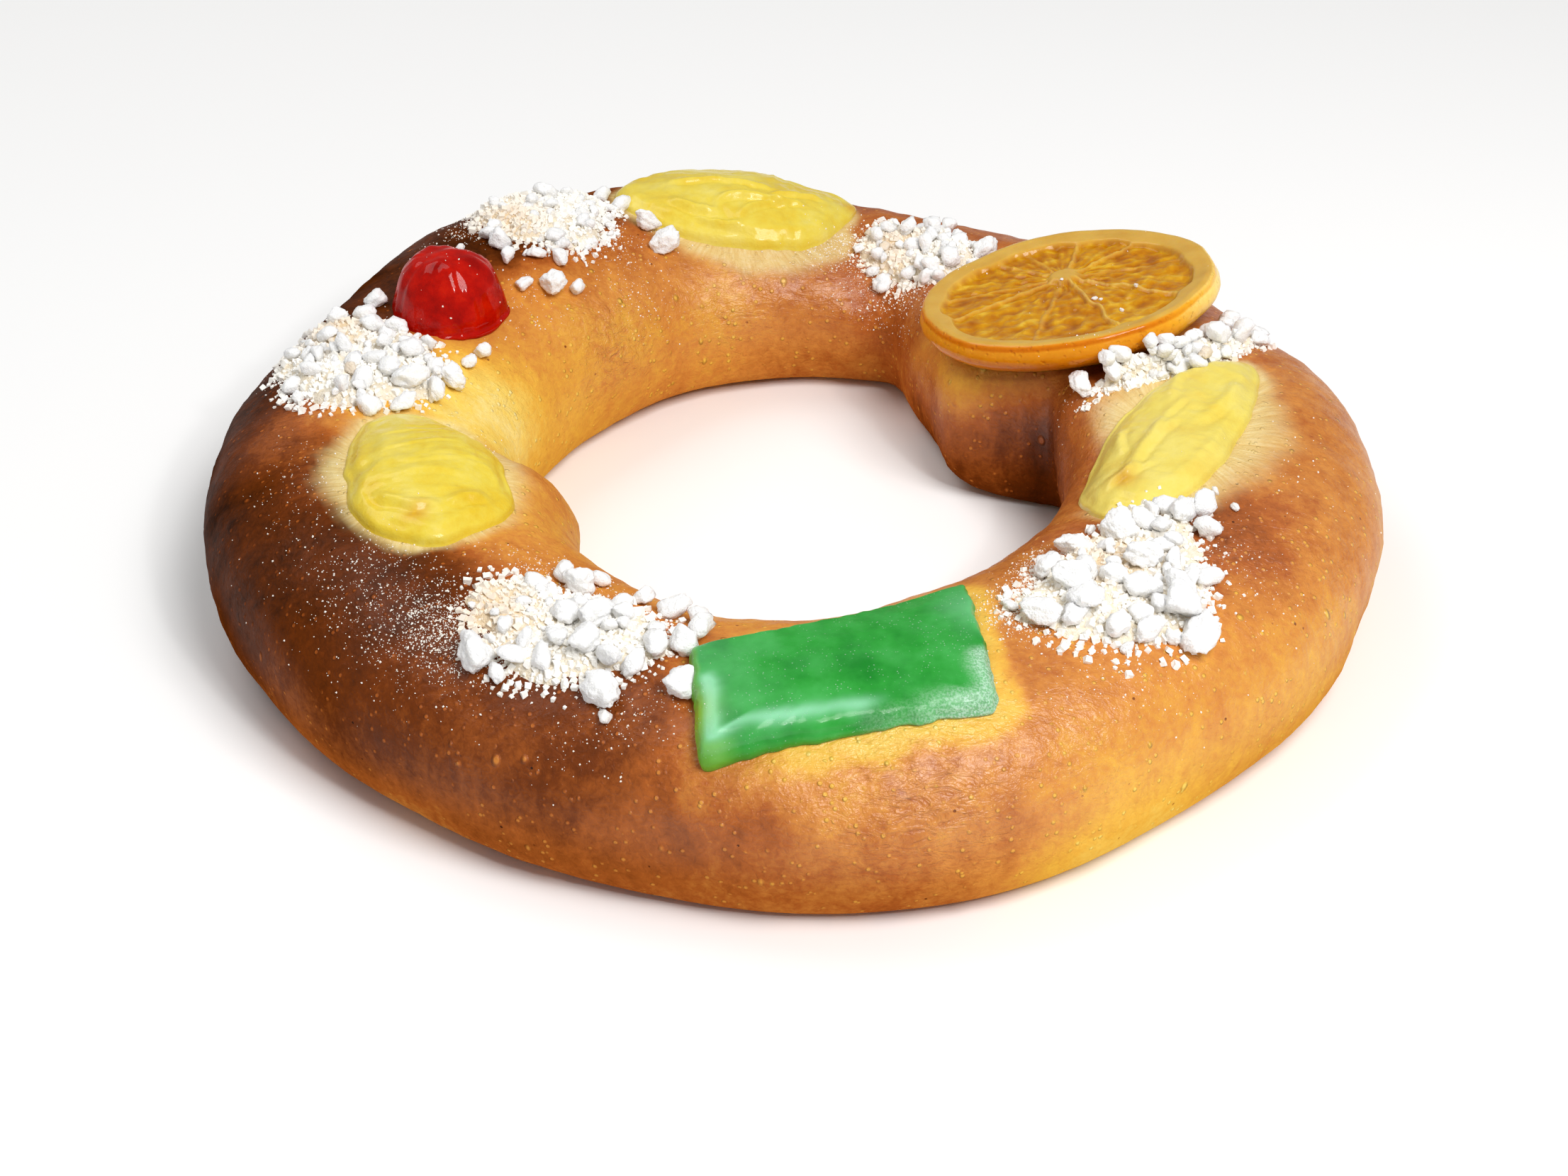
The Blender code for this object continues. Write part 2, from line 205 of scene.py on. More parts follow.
class Recipe:
    def __init__(self, name):
        self.finish = bpy.data.materials.new(name)
        self.finish.use_nodes = True
        self.tree = self.finish.node_tree
        self.tree.nodes.clear()
        self.place = self.add("ShaderNodeTexCoord", out="Object")

    def add(self, kind, settings=None, sockets=None, out=0):
        node = self.tree.nodes.new(kind)
        for key, value in (settings or {}).items():
            if key == "stops":
                ramp = node.color_ramp
                while len(ramp.elements) < len(value):
                    ramp.elements.new(0.5)
                for element, (place, colour) in zip(ramp.elements, value):
                    element.position = place
                    element.color = colour
            else:
                setattr(node, key, value)
        for key, value in (sockets or {}).items():
            if isinstance(value, Wire):
                self.tree.links.new(value.socket, node.inputs[key])
            else:
                node.inputs[key].default_value = value
        return Wire(self, node.outputs[out])

    def read(self, mark, out="Fac"):
        return self.add("ShaderNodeAttribute", {"attribute_name": mark}, out=out)

    def stretch(self, scale):
        return self.add("ShaderNodeVectorMath", {"operation": "MULTIPLY"}, {0: self.place, 1: scale})

    def noise(self, size, detail=3.0, roughness=0.55, distortion=0.0, at=None):
        # size is the width of a lump in millimetres
        return self.add(
            "ShaderNodeTexNoise", {},
            {"Vector": at or self.place, "Scale": 1000 / size, "Detail": detail, "Roughness": roughness,
             "Distortion": distortion}, out="Fac")

    def cells(self, size, out="Distance", at=None):
        return self.add(
            "ShaderNodeTexVoronoi", {"feature": "F1"}, {"Vector": at or self.place, "Scale": 1000 / size}, out=out)

    def ramp(self, value, *stops):
        # each stop is a level and its colour
        stops = [(level, tone(colour)) for level, *colour in stops]
        return self.add("ShaderNodeValToRGB", {"stops": stops}, {"Fac": value}, out="Color")

    def mix(self, share, first, second):
        return self.add(
            "ShaderNodeMix", {"data_type": "RGBA", "blend_type": "MIX", "clamp_factor": True},
            {0: share, 6: tone(first), 7: tone(second)}, out=2)

    def bump(self, height, depth):
        # depth is the height of a full step in millimetres
        return self.add("ShaderNodeBump", {}, {"Height": height, "Distance": depth * mm, "Strength": 1.0})

    def close(self, sockets, soft=None, share=None, glossy=None):
        # soft: how much light goes in, and how far each colour goes; with a share, glossy takes over by that much
        if soft:
            sockets = {**sockets, "Subsurface Weight": soft[0], "Subsurface Radius": soft[1:],
                       "Subsurface Scale": 1.0}
        surface = self.add("ShaderNodeBsdfPrincipled", {}, sockets)
        if share is not None:
            other = self.add("ShaderNodeBsdfPrincipled", {}, {**sockets, **glossy})
            surface = self.add("ShaderNodeMixShader", {}, {0: share, 1: surface, 2: other})
        output = self.tree.nodes.new("ShaderNodeOutputMaterial")
        self.tree.links.new(surface.socket, output.inputs["Surface"])
        return self.finish


def crustFinish():
    recipe = Recipe("crust")
    baking, pale, shine, rumple = map(recipe.read, ("baking", "pale", "shine", "rumple"))
    cloud = recipe.noise(16, 4, 0.6, 0.3)
    mottle = recipe.noise(3.4, 4, 0.65, 0.5)
    grain = recipe.noise(0.8, 2)
    leather = recipe.noise(1.3, 3, 0.6, 0.8)
    streak = recipe.noise(6, 4, 0.6, 1.0, recipe.stretch((1.0, 1.0, 0.35)))
    crease = 1 - (recipe.noise(2.4, 3, 0.6, 0.7, recipe.stretch((0.4, 1.0, 1.0))) * 2 - 1).size() * 2.2
    striation = recipe.noise(34, 3, 0.6, 0.0, recipe.read("spokes", "Vector"))
    oval = recipe.stretch((1.0, 1.0, 0.7))
    bubbleSize = recipe.add("ShaderNodeSeparateColor", {}, {"Color": recipe.cells(6, "Color", oval)})
    bubble = (recipe.cells(6, at=oval) - bubbleSize ** 4 * 0.1).span(0.09, -0.02) * bubbleSize.span(0.5, 0.6)
    fleck = recipe.cells(2.1).span(0.28, 0.12) * recipe.noise(5, 1).span(0.45, 0.54)
    # pores: dented in the bump and painted darker inside as painted shade
    shadedPore = recipe.cells(5).span(0.07, 0.02) * recipe.noise(12, 1).span(0.46, 0.56)
    # the browning mark carries painted shade, a painted shadow and a painted warm reflection besides the real
    # browning
    level = baking + (cloud - 0.5) * 0.26 + (mottle - 0.5) * 0.15 + (streak - 0.5) * 0.18
    level = level - bubble * 0.2 - fleck * 0.16 + shadedPore * 0.25 - crease * rumple * 0.1 + (leather - 0.5) * 0.16
    colour = recipe.ramp(
        level, (0.0, 246, 226, 150), (0.15, 242, 206, 98), (0.32, 232, 176, 66), (0.5, 208, 134, 58),
        (0.64, 172, 92, 36), (0.8, 112, 52, 14), (1.0, 52, 24, 8))
    paleColour = recipe.ramp(
        striation * 0.6 + mottle * 0.4, (0.3, 216, 186, 112), (0.5, 232, 208, 140), (0.7, 242, 226, 172))
    colour = recipe.mix(pale * (0.7 + striation * 0.3), colour, paleColour)
    height = mottle * 0.35 + leather * 0.5 + grain * 0.2 + bubble * 1.2 + fleck * 0.5 - shadedPore * 0.7
    height = height + striation * pale * 0.4 + crease * rumple * 0.7
    return recipe.close(
        {"Base Color": colour, "Roughness": 0.6, "Normal": recipe.bump(height, 0.5), "Specular IOR Level": 0.0,
         "Coat Weight": shine * 0.12, "Coat Roughness": 0.2},
        share=shine, glossy={"Roughness": 0.34 + (mottle - 0.5) * 0.4, "Specular IOR Level": 0.6})


def custardFinish():
    recipe = Recipe("custard")
    cloud, fine, grain = recipe.noise(11), recipe.noise(1.6, 3, 0.6), recipe.noise(0.6, 1)
    colour = recipe.ramp(
        cloud + (fine - 0.5) * 0.3, (0.3, 223, 187, 28), (0.5, 228, 203, 64), (0.72, 232, 213, 102))
    colour = recipe.mix(recipe.read("pale"), colour, (232, 218, 132))
    scorched = recipe.ramp(fine, (0.3, 190, 120, 14), (0.7, 222, 172, 24))
    colour = recipe.mix(recipe.read("scorch") * (0.3 + fine), colour, scorched)
    return recipe.close(
        {"Base Color": colour, "Roughness": 0.32 + fine * 0.16, "Coat Weight": 0.35, "Coat Roughness": 0.12,
         "Normal": recipe.bump(fine * 0.8 + grain * 0.3, 0.2), "Specular IOR Level": 0.15},
        (0.06, 0.003, 0.003, 0.001))


def cherryFinish():
    recipe = Recipe("candiedCherry")
    cloud, fine = recipe.noise(6), recipe.noise(1.4, 3, 0.6)
    colour = recipe.ramp(cloud + (fine - 0.5) * 0.3, (0.3, 140, 4, 0), (0.55, 178, 12, 0), (0.8, 206, 28, 4))
    colour = recipe.mix(recipe.read("pale"), colour, (226, 130, 124))
    return recipe.close(
        {"Base Color": colour, "Roughness": 0.45 + fine * 0.15, "Coat Weight": 0.42, "Coat Roughness": 0.08,
         "Specular IOR Level": 0.0, "Normal": recipe.bump(fine + cloud * 0.5, 0.3)},
        (0.3, 0.005, 0.001, 0.0005))


def greenFinish():
    recipe = Recipe("candiedGreen")
    cloud, fine, crystal = recipe.noise(9), recipe.noise(1.3, 3, 0.6), recipe.noise(0.42).span(0.36, 0.66)
    speck = recipe.cells(0.75).span(0.24, 0.08) * recipe.noise(5, 2).span(0.42, 0.6)
    colour = recipe.ramp(
        cloud + (fine - 0.5) * 0.12, (0.3, 26, 128, 40), (0.5, 44, 150, 54), (0.75, 66, 168, 78))
    # mint band with a painted highlight, then painted glow at the thin left edge with the yellower lower-left tip
    colour = recipe.mix(recipe.read("mint"), colour, (140, 208, 164))
    colour = recipe.mix(recipe.read("glow"), colour, (150, 186, 44))
    white = (recipe.read("frost") * (0.3 + crystal * 0.5)).top(speck * 0.4)
    return recipe.close(
        {"Base Color": recipe.mix(white, colour, (196, 230, 206)), "Roughness": 0.4 + white * 0.3,
         "Coat Weight": 0.3 - white * 0.25, "Coat Roughness": 0.16, "Specular IOR Level": 0.03,
         "Normal": recipe.bump(fine * 0.6 + white * 0.9, 0.2)},
        (0.35, 0.002, 0.006, 0.002))


def orangeFinish():
    recipe = Recipe("candiedOrange")
    pith, rind = map(recipe.read, ("pith", "rind"))
    cloud, fine, juice = recipe.noise(8), recipe.noise(1.2, 3, 0.6), recipe.noise(2.6, 3, 0.6, 0.6)
    pulp = recipe.ramp(
        cloud * 0.4 + juice * 0.32 + recipe.read("vesicle") * 0.28,
        (0.34, 162, 90, 0), (0.45, 186, 116, 0), (0.55, 204, 142, 6), (0.68, 232, 186, 54))
    skin = recipe.ramp(
        recipe.read("deep") + (fine - 0.5) * 0.2,
        (0.0, 252, 216, 120), (0.35, 234, 164, 34), (0.7, 208, 118, 0), (1.0, 160, 70, 0))
    colour = recipe.mix(recipe.read("web") * (0.35 + juice * 0.8), pulp, (220, 174, 84))
    colour = recipe.mix(pith, colour, recipe.mix(cloud, (194, 138, 36), (222, 182, 88)))
    pit = recipe.cells(1.4).span(0.35, 0.1) * rind
    return recipe.close(
        {"Base Color": recipe.mix(rind, colour, skin), "Roughness": 0.3 + fine * 0.2 + pith * 0.12,
         "Coat Weight": 0.5, "Coat Roughness": 0.1, "Specular IOR Level": 0.02,
         "Normal": recipe.bump(fine * 0.6 - pit * 0.8, 0.25)},
        (0.35, 0.006, 0.003, 0.0006))


def sugarFinish(name, dark, light, bumpDepth, size, soft=0.0):
    recipe = Recipe(name)
    cloud = recipe.noise(size, 3, 0.6)
    colour = recipe.mix(recipe.read("toast") * (0.5 + cloud), recipe.mix(cloud, dark, light), (224, 184, 122))
    return recipe.close(
        {"Base Color": colour, "Roughness": 0.6, "Specular IOR Level": 0.4,
         "Normal": recipe.bump(cloud + recipe.noise(0.45, 2) * 0.6, bumpDepth)},
        (soft, 0.002, 0.002, 0.0018))


finishes = {
    "crust": crustFinish(),
    "custard": custardFinish(),
    "cherry": cherryFinish(),
    "green": greenFinish(),
    "orange": orangeFinish(),
    "nib": sugarFinish("pearlSugar", (244, 243, 240), (255, 255, 255), 0.4, 1.0, 0.35),
    "grain": sugarFinish("sugarGrain", (248, 243, 232), (255, 254, 251), 0.1, 2.4),
    "dust": sugarFinish("sugarDust", (244, 238, 226), (255, 254, 250), 0.05, 2.4),
    "bed": sugarFinish("sugarBed", (222, 198, 152), (255, 252, 244), 0.5, 1.1),
}
print("finishes made")


class Lay:
    # the middle of a CAD solid, and directions along it, across it and out of its top
    looksUp = 0.6

    def __init__(self, node, heading, shift=(0, 0)):
        self.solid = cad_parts[node]
        self.node = node
        total = Vector()
        for face in self.solid.data.polygons:
            if face.normal.z > self.looksUp:
                total += face.normal * face.area
        self.out = np.array(total.normalized())
        turn = math.radians(heading)
        along = np.array([math.cos(turn), math.sin(turn), 0.0])
        along -= self.out * along.dot(self.out)
        self.along = along / np.linalg.norm(along)
        self.across = np.cross(self.out, self.along)
        low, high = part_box(node)
        self.middle = (np.array(low) + np.array(high)) / 2
        self.tree = treeOf(self.solid)
        self.shift = np.array([shift[0], shift[1], 0.0]) * mm

    def flatten(self, points):
        away = np.asarray(points) - self.middle - self.shift
        return np.stack([away @ self.along, away @ self.across, away @ self.out], -1)

    def lift(self, flat, height):
        return (self.middle + self.shift + flat[..., :1] * self.along + flat[..., 1:2] * self.across
                + np.asarray(height)[..., None] * self.out)

    def outline(self, count):
        flat = self.flatten([np.array(v.co) + self.shift for v in self.solid.data.vertices])[:, :2]
        ring = flat[convex_hull_2d(flat.tolist())]
        closed = np.vstack([ring, ring[:1]])
        run = np.concatenate([[0], np.cumsum(np.linalg.norm(np.diff(closed, axis=0), axis=1))])
        spots = np.linspace(0, run[-1], count, endpoint=False)
        even = np.stack([np.interp(spots, run, closed[:, k]) for k in range(2)], 1)
        area = np.sum(even[:, 0] * np.roll(even[:, 1], -1) - np.roll(even[:, 0], -1) * even[:, 1])
        return even if area > 0 else even[::-1]

    def drop(self, tree, flat, reach=0.05):
        starts = self.lift(flat, np.full(flat.shape[:-1], reach)).reshape(-1, 3)
        if tree is self.tree:
            starts = starts - self.shift
        down = Vector(-self.out)
        heights = np.full(len(starts), np.nan)
        for k, start in enumerate(starts):
            hit = tree.ray_cast(Vector(start), down)
            if hit[0] is not None:
                heights[k] = reach - hit[3]
        return heights.reshape(flat.shape[:-1])


def roundDrop(edge, radius):
    inside = np.clip(radius - edge, 0, radius)
    return radius - np.sqrt(np.maximum(radius ** 2 - inside ** 2, 0))


def filledOutward(heights):
    # rings that miss take the height of the ring inside them
    for k in range(1, len(heights)):
        gap = np.isnan(heights[k])
        heights[k][gap] = heights[k - 1][gap]
    return heights


# what a patch does unless its own dictionary says otherwise, lengths in mm
plainPatch = {"grow": 0, "pull": (), "hold": 0.93, "sink": 0.8, "walls": 4, "bulge": 0.25, "tuck": 0.4,
              "wallTone": {}}


def layPatch(name, lay, plan, relief, finish):
    # a dense rounded patch over a solid: rings from its middle out to its outline, then a side and an underside
    plan = {**plainPatch, **plan}
    rings, spokes = plan["rings"], plan["spokes"]
    outline = smoothed(lay.outline(spokes), plan["soften"], 0, True)
    middle = outline.mean(0)
    tangent = np.roll(outline, -1, 0) - np.roll(outline, 1, 0)
    sideways = np.stack([tangent[:, 1], -tangent[:, 0]], 1) / np.linalg.norm(tangent, axis=1)[:, None]
    wobble = layeredNoise(np.c_[outline / mm, np.zeros(spokes)], plan["wobbleSize"], plan["seed"], 2)
    away = outline - middle
    grow = wobble * plan["wobble"] + plan["grow"]
    for direction, reach, further in plan["pull"]:
        turn = np.arctan2(away[:, 1], away[:, 0]) - math.radians(direction)
        grow = grow + further * bell(wrapped(turn), reach)
    outline = middle + away * (1 + grow * mm / np.linalg.norm(away, axis=1))[:, None]
    # the rings crowd towards the edge
    share = 1 - (1 - np.linspace(0, 1, rings)) ** 1.35
    share[0] = share[1] * 0.25
    flat = middle + share[:, None, None] * (outline - middle)
    support = smoothed(np.sum((outline - middle) * sideways, axis=1), 4, 0, True)
    edge = (1 - share)[:, None] * support[None, :]
    inner = middle + np.minimum(share, plan["hold"])[:, None, None] * (outline - middle)
    height = filledOutward(lay.drop(lay.tree, inner))
    height = smoothed(smoothed(height, plan["blur"], 0, False), plan["blur"] * 2, 1, True)
    floor = lay.drop(crustTree, outline)
    floor = np.where(np.isnan(floor), height[-1] - plan["thick"] * mm, floor) - plan["sink"] * mm
    if "thickness" in plan:
        floor = height[-1] - plan["thickness"] * mm
    u, v = flat[..., 0] / mm, flat[..., 1] / mm
    angle = np.arctan2(flat[..., 1] - middle[1], flat[..., 0] - middle[0])
    raised, marks = relief({
        "flat": flat, "u": u, "v": v, "spots": np.stack([u, v, np.zeros(u.shape)], -1), "edge": edge / mm,
        "share": share[:, None], "angle": angle, "height": height, "space": lay.lift(flat, height) / mm})
    if "meet" in plan:
        # the top comes down to the bread in a dome, steeply on the side of the lip
        wide, steep, lipTurn = plan["meet"]
        atLip = step(np.cos(angle - math.radians(lipTurn)), 0.0, 0.8)
        near = np.clip(edge / ((wide - (wide - steep) * atLip) * mm), 0, 1)
        ground = floor + (plan["sink"] + 0.8) * mm
        height = ground + (height - ground) * (
            atLip * np.sqrt(1 - (1 - near) ** 2) + (1 - atLip) * np.sin(near * math.pi / 2))
    height = height + raised * mm - roundDrop(edge, plan["edgeRadius"] * mm)
    floor = np.minimum(floor, height[-1] - 0.3 * mm)
    layers = [lay.lift(flat, height)]
    for t in np.linspace(0, 1, plan["walls"] + 1)[1:]:
        bulge = plan["bulge"] * mm * math.sin(math.pi * t)
        tuck = plan["tuck"] * mm * t ** 3
        layers.append(lay.lift(outline + sideways * (bulge - tuck), height[-1] * (1 - t) + floor * t)[None])
    for inward in (0.9, 0.5, 0.1):
        layers.append(lay.lift(middle + inward * (outline - middle), floor)[None])
    points = np.concatenate(layers).reshape(-1, 3)
    rows = len(points) // spokes
    faces = gridFaces(rows, spokes)
    points = np.vstack([points, points[:spokes].mean(0), points[-spokes:].mean(0)])
    for k in range(spokes):
        beside = (k + 1) % spokes
        faces.append((len(points) - 2, k, beside))
        faces.append((len(points) - 1, (rows - 1) * spokes + beside, (rows - 1) * spokes + k))
    for mark, values in marks.items():
        # the side carries on from the edge, changed by the wall's own tone from its top to its bottom
        rest = np.repeat(values[-1:], rows - rings, 0)
        if mark in plan["wallTone"]:
            rest = rest + np.linspace(*plan["wallTone"][mark], rows - rings)[:, None]
        marks[mark] = np.concatenate([values.ravel(), rest.ravel(), [values[0, 0], values[-1, 0]]])
    return makePiece(name, points, faces, finish, [lay.node], marks)


bread = {
    "stepsRound": 1080, "stepsAcross": 92, "axisRadius": 88, "axisHeight": 17,
    "blurRound": 30, "blurAcross": 3,
    "lumps": [(30, 0.6), (12, 0.35), (5, 0.2), (2.4, 0.12)],
    # pale ring round a filling: width at its sides and at its ends, and how strong
    "halos": {"custard_left": (7.4, 4.6, 1.0, 31), "custard_back": (7, 4, 0.9, 27),
              "custard_right": (14.5, 3.6, 1.0, 33), "green_strip": (6.5, 6.5, 0.0, 22)},
    # rumpled skin: x, y, z, reach, how strong
    "rumples": [
        (22, -114, 30, 22, 1.0), (50, -105, 30, 14, 0.6), (-10, -112, 33, 12, 0.6), (-37, 48, 28, 13, 1.0),
        (-12, 68, 26, 13, 0.9), (8, 72, 26, 10, 0.6), (85, -56, 38, 12, 0.5), (-60, 18, 30, 9, 0.6),
        (-100, -4, 38, 10, 0.5), (100, -50, 30, 16, 0.4)],
    # how brown the crust is, partly painted light: darker for painted shade on the left flank down to its base and
    # for a painted shadow on the lobe under the orange slice, paler for a painted warm reflection low on the front
    # and right; x, y, z in mm from the middle of the ring, level, reach
    "spots": [
        (-103, -45, 35, 0.94, 16), (-109, -51, 20, 0.92, 20), (-99, -12, 39, 0.7, 12), (-85, -81, 23, 0.86, 16),
        (-77, -74, 36, 0.88, 12), (-38, -98, 35, 0.86, 10), (-16, -120, 22, 0.66, 14), (-16, -119, 11, 0.58, 14),
        (5, -115, 32, 0.4, 8), (19, -122, 23, 0.62, 13), (47, -110, 28, 0.58, 14), (95, -70, 29, 0.5, 16),
        (94, -78, 18, 0.34, 12), (62, -105, 8, 0.16, 12), (75, -92, 24, 0.52, 12), (97, -36, 39, 0.58, 14),
        (82, -57, 38, 0.7, 10), (110, -14, 36, 0.6, 10), (118, -20, 18, 0.46, 16), (-47, -41, 35, 0.5, 12),
        (-27, 57, 16, 0.5, 14), (-44, 39, 19, 0.34, 12), (-18, 66, 27, 0.56, 10), (7, 68, 21, 0.6, 12),
        (38, 20, 28, 0.56, 10), (48, 16, 18, 0.84, 8), (43, 19, 5, 0.84, 12), (56, 3, 26, 0.7, 10),
        (-58, 36, 35, 0.54, 10), (-60, 14, 30, 0.18, 10), (-118, 10, 20, 0.94, 20), (-90, 78, 26, 0.94, 20),
        (-50, 108, 20, 0.78, 20), (0, 120, 20, 0.66, 22), (50, 106, 20, 0.64, 22), (95, 68, 20, 0.62, 22),
        (118, 30, 20, 0.56, 20), (-64, -5, 18, 0.36, 14), (-50, -35, 15, 0.44, 14), (-30, -56, 18, 0.5, 14),
        (10, -60, 16, 0.5, 16), (50, -40, 18, 0.6, 14), (-60, -96, 8, 0.5, 16), (-100, -62, 6, 0.5, 14),
        (-58, 8, 29, 0.04, 8), (-66, 14, 33, 0.1, 7), (-52, -32, 38, 0.36, 6), (-104, -58, 20, 0.98, 14),
        (-112, -20, 24, 1.0, 14), (-62, -10, 35, 0.5, 3.5), (-57, -16, 36, 0.62, 3.5), (-52, -22, 36, 0.64, 3.5),
        (-47, -28, 33, 0.62, 4), (-60, 4, 27, 0.2, 5), (-54, -8, 29, 0.34, 4), (38, 21, 31, 0.36, 6),
        (33, 35, 29, 0.4, 7), (-92, -4, 40, 0.42, 6), (-101, -12, 39, 0.66, 7), (-85, -1, 39, 0.12, 6),
        (-66, 2, 34, 0.0, 6), (-94, -32, 41, 0.6, 6), (-74, -86, 30, 0.86, 8), (-88, -80, 17, 0.8, 8),
        (-47, -100, 31, 0.9, 7), (-56, -95, 33, 0.76, 6), (-44, -108, 25, 0.78, 8), (-33, -103, 33, 0.7, 6),
        (-21, -112, 31, 0.78, 7), (-65, -98, 24, 0.84, 9), (-52, -106, 12, 0.82, 9), (-23, -117, 10, 0.74, 9),
        (-9, -120, 25, 0.7, 7), (96, -62, 33, 0.4, 9), (77, -91, 27, 0.44, 8), (32, 32, 17, 0.72, 6),
        (43, 18, 10, 0.88, 7), (-18, 63, 18, 0.42, 7), (0, 68, 21, 0.48, 7), (8, 68, 11, 0.54, 7),
        (-35, 54, 30, 0.54, 6), (44, 24, 31, 0.16, 5), (40, 28, 32, 0.2, 5), (50, 20, 32, 0.26, 4),
        (51, 15, 23, 0.9, 5), (40, 18, 14, 0.56, 6), (57, 12, 32, 0.5, 4), (58, -2, 30, 0.6, 6),
        (64, -1, 37, 0.5, 5), (-38, 48, 28, 0.62, 8), (-51, 44, 36, 0.4, 6), (89, -55, 37, 0.72, 7),
        (86, -50, 37, 0.98, 7), (90, -60, 35, 0.84, 6), (92, -46, 38, 0.72, 6), (10, 74, 27, 0.66, 7),
        (21, 72, 24, 0.7, 6), (-4, 72, 27, 0.6, 6), (-95, -66, 5, 0.42, 9), (-80, -80, 4, 0.42, 9),
        (-112, -34, 8, 0.66, 9)],
}


def castBread():
    # the dense crust follows the bread's solid, read outward from a line inside it
    tree = treeOf(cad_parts["bread"])
    rounds, acrosses = bread["stepsRound"], bread["stepsAcross"]
    turn = np.linspace(0, 2 * math.pi, rounds, endpoint=False)

    def read(turns, slopes):
        reach = np.empty((len(turns), len(slopes)))
        for i, angle in enumerate(turns):
            outward = Vector((math.cos(angle), math.sin(angle), 0))
            start = Vector(ringMiddle) + outward * (bread["axisRadius"] * mm)
            start.z = bread["axisHeight"] * mm
            for j, slope in enumerate(slopes):
                way = outward * math.cos(slope) + Vector((0, 0, math.sin(slope)))
                hit = tree.ray_cast(start, way)
                reach[i, j] = hit[3] if hit[0] is not None else np.nan
        return reach

    slopes = np.linspace(-math.pi / 2, 1.5 * math.pi, 361)
    typical = np.nanmean(read(turn[::45], slopes), 0)
    steps = np.hypot(np.diff(typical), (typical[1:] + typical[:-1]) / 2 * np.diff(slopes))
    level = typical * np.sin(slopes) + bread["axisHeight"] * mm
    steps = steps * np.where(level[1:] < 1 * mm, 0.3, 1.0)
    run = np.concatenate([[0], np.cumsum(steps)])
    slopes = np.interp(np.linspace(0, run[-1], acrosses, endpoint=False), run, slopes)
    reach = read(turn, slopes)
    reach = np.where(np.isnan(reach), typical.mean(), reach)
    reach = smoothed(smoothed(reach, bread["blurRound"], 0, True), bread["blurAcross"], 1, True)
    outward = np.stack([np.cos(turn), np.sin(turn), np.zeros(rounds)], 1)[:, None, :]
    points = (ringMiddle + outward * (bread["axisRadius"] * mm)
              + outward * (reach * np.cos(slopes))[..., None])
    points[..., 2] = bread["axisHeight"] * mm + reach * np.sin(slopes)
    points[..., 2] = np.maximum(points[..., 2], 0)
    return points


def gridNormals(points):
    rounds = np.roll(points, -1, 0) - np.roll(points, 1, 0)
    across = np.roll(points, -1, 1) - np.roll(points, 1, 1)
    normal = np.cross(across, rounds)
    return -normal / np.maximum(np.linalg.norm(normal, axis=-1, keepdims=True), 1e-12)


def planGap(points, outline):
    # flat distance in mm from points to a closed outline, negative inside
    best = np.full(points.shape[:-1], 1e9)
    inside = np.zeros(points.shape[:-1], bool)
    for a, b in zip(outline, np.roll(outline, -1, 0)):
        side = b - a
        share = np.clip(((points - a) @ side) / max(side @ side, 1e-12), 0, 1)
        best = np.minimum(best, farFrom(points, a + share[..., None] * side))
        crosses = (a[1] > points[..., 1]) != (b[1] > points[..., 1])
        with np.errstate(divide="ignore", invalid="ignore"):
            at = (b[0] - a[0]) * (points[..., 1] - a[1]) / (b[1] - a[1]) + a[0]
        inside ^= crosses & (points[..., 0] < at)
    return np.where(inside, -best, best) / mm


lays = {
    "custard_left": Lay("custard_left", 103, (0, 2.5)), "custard_back": Lay("custard_back", 178),
    "custard_right": Lay("custard_right", 58), "cherry": Lay("cherry", 0, (-0.8, 1.5)),
    "orange_slice": Lay("orange_slice", 0), "green_strip": Lay("green_strip", 8),
}


def planOutline(lay, count=72):
    ring = lay.outline(count)
    return lay.lift(ring, np.zeros(count))[:, :2]


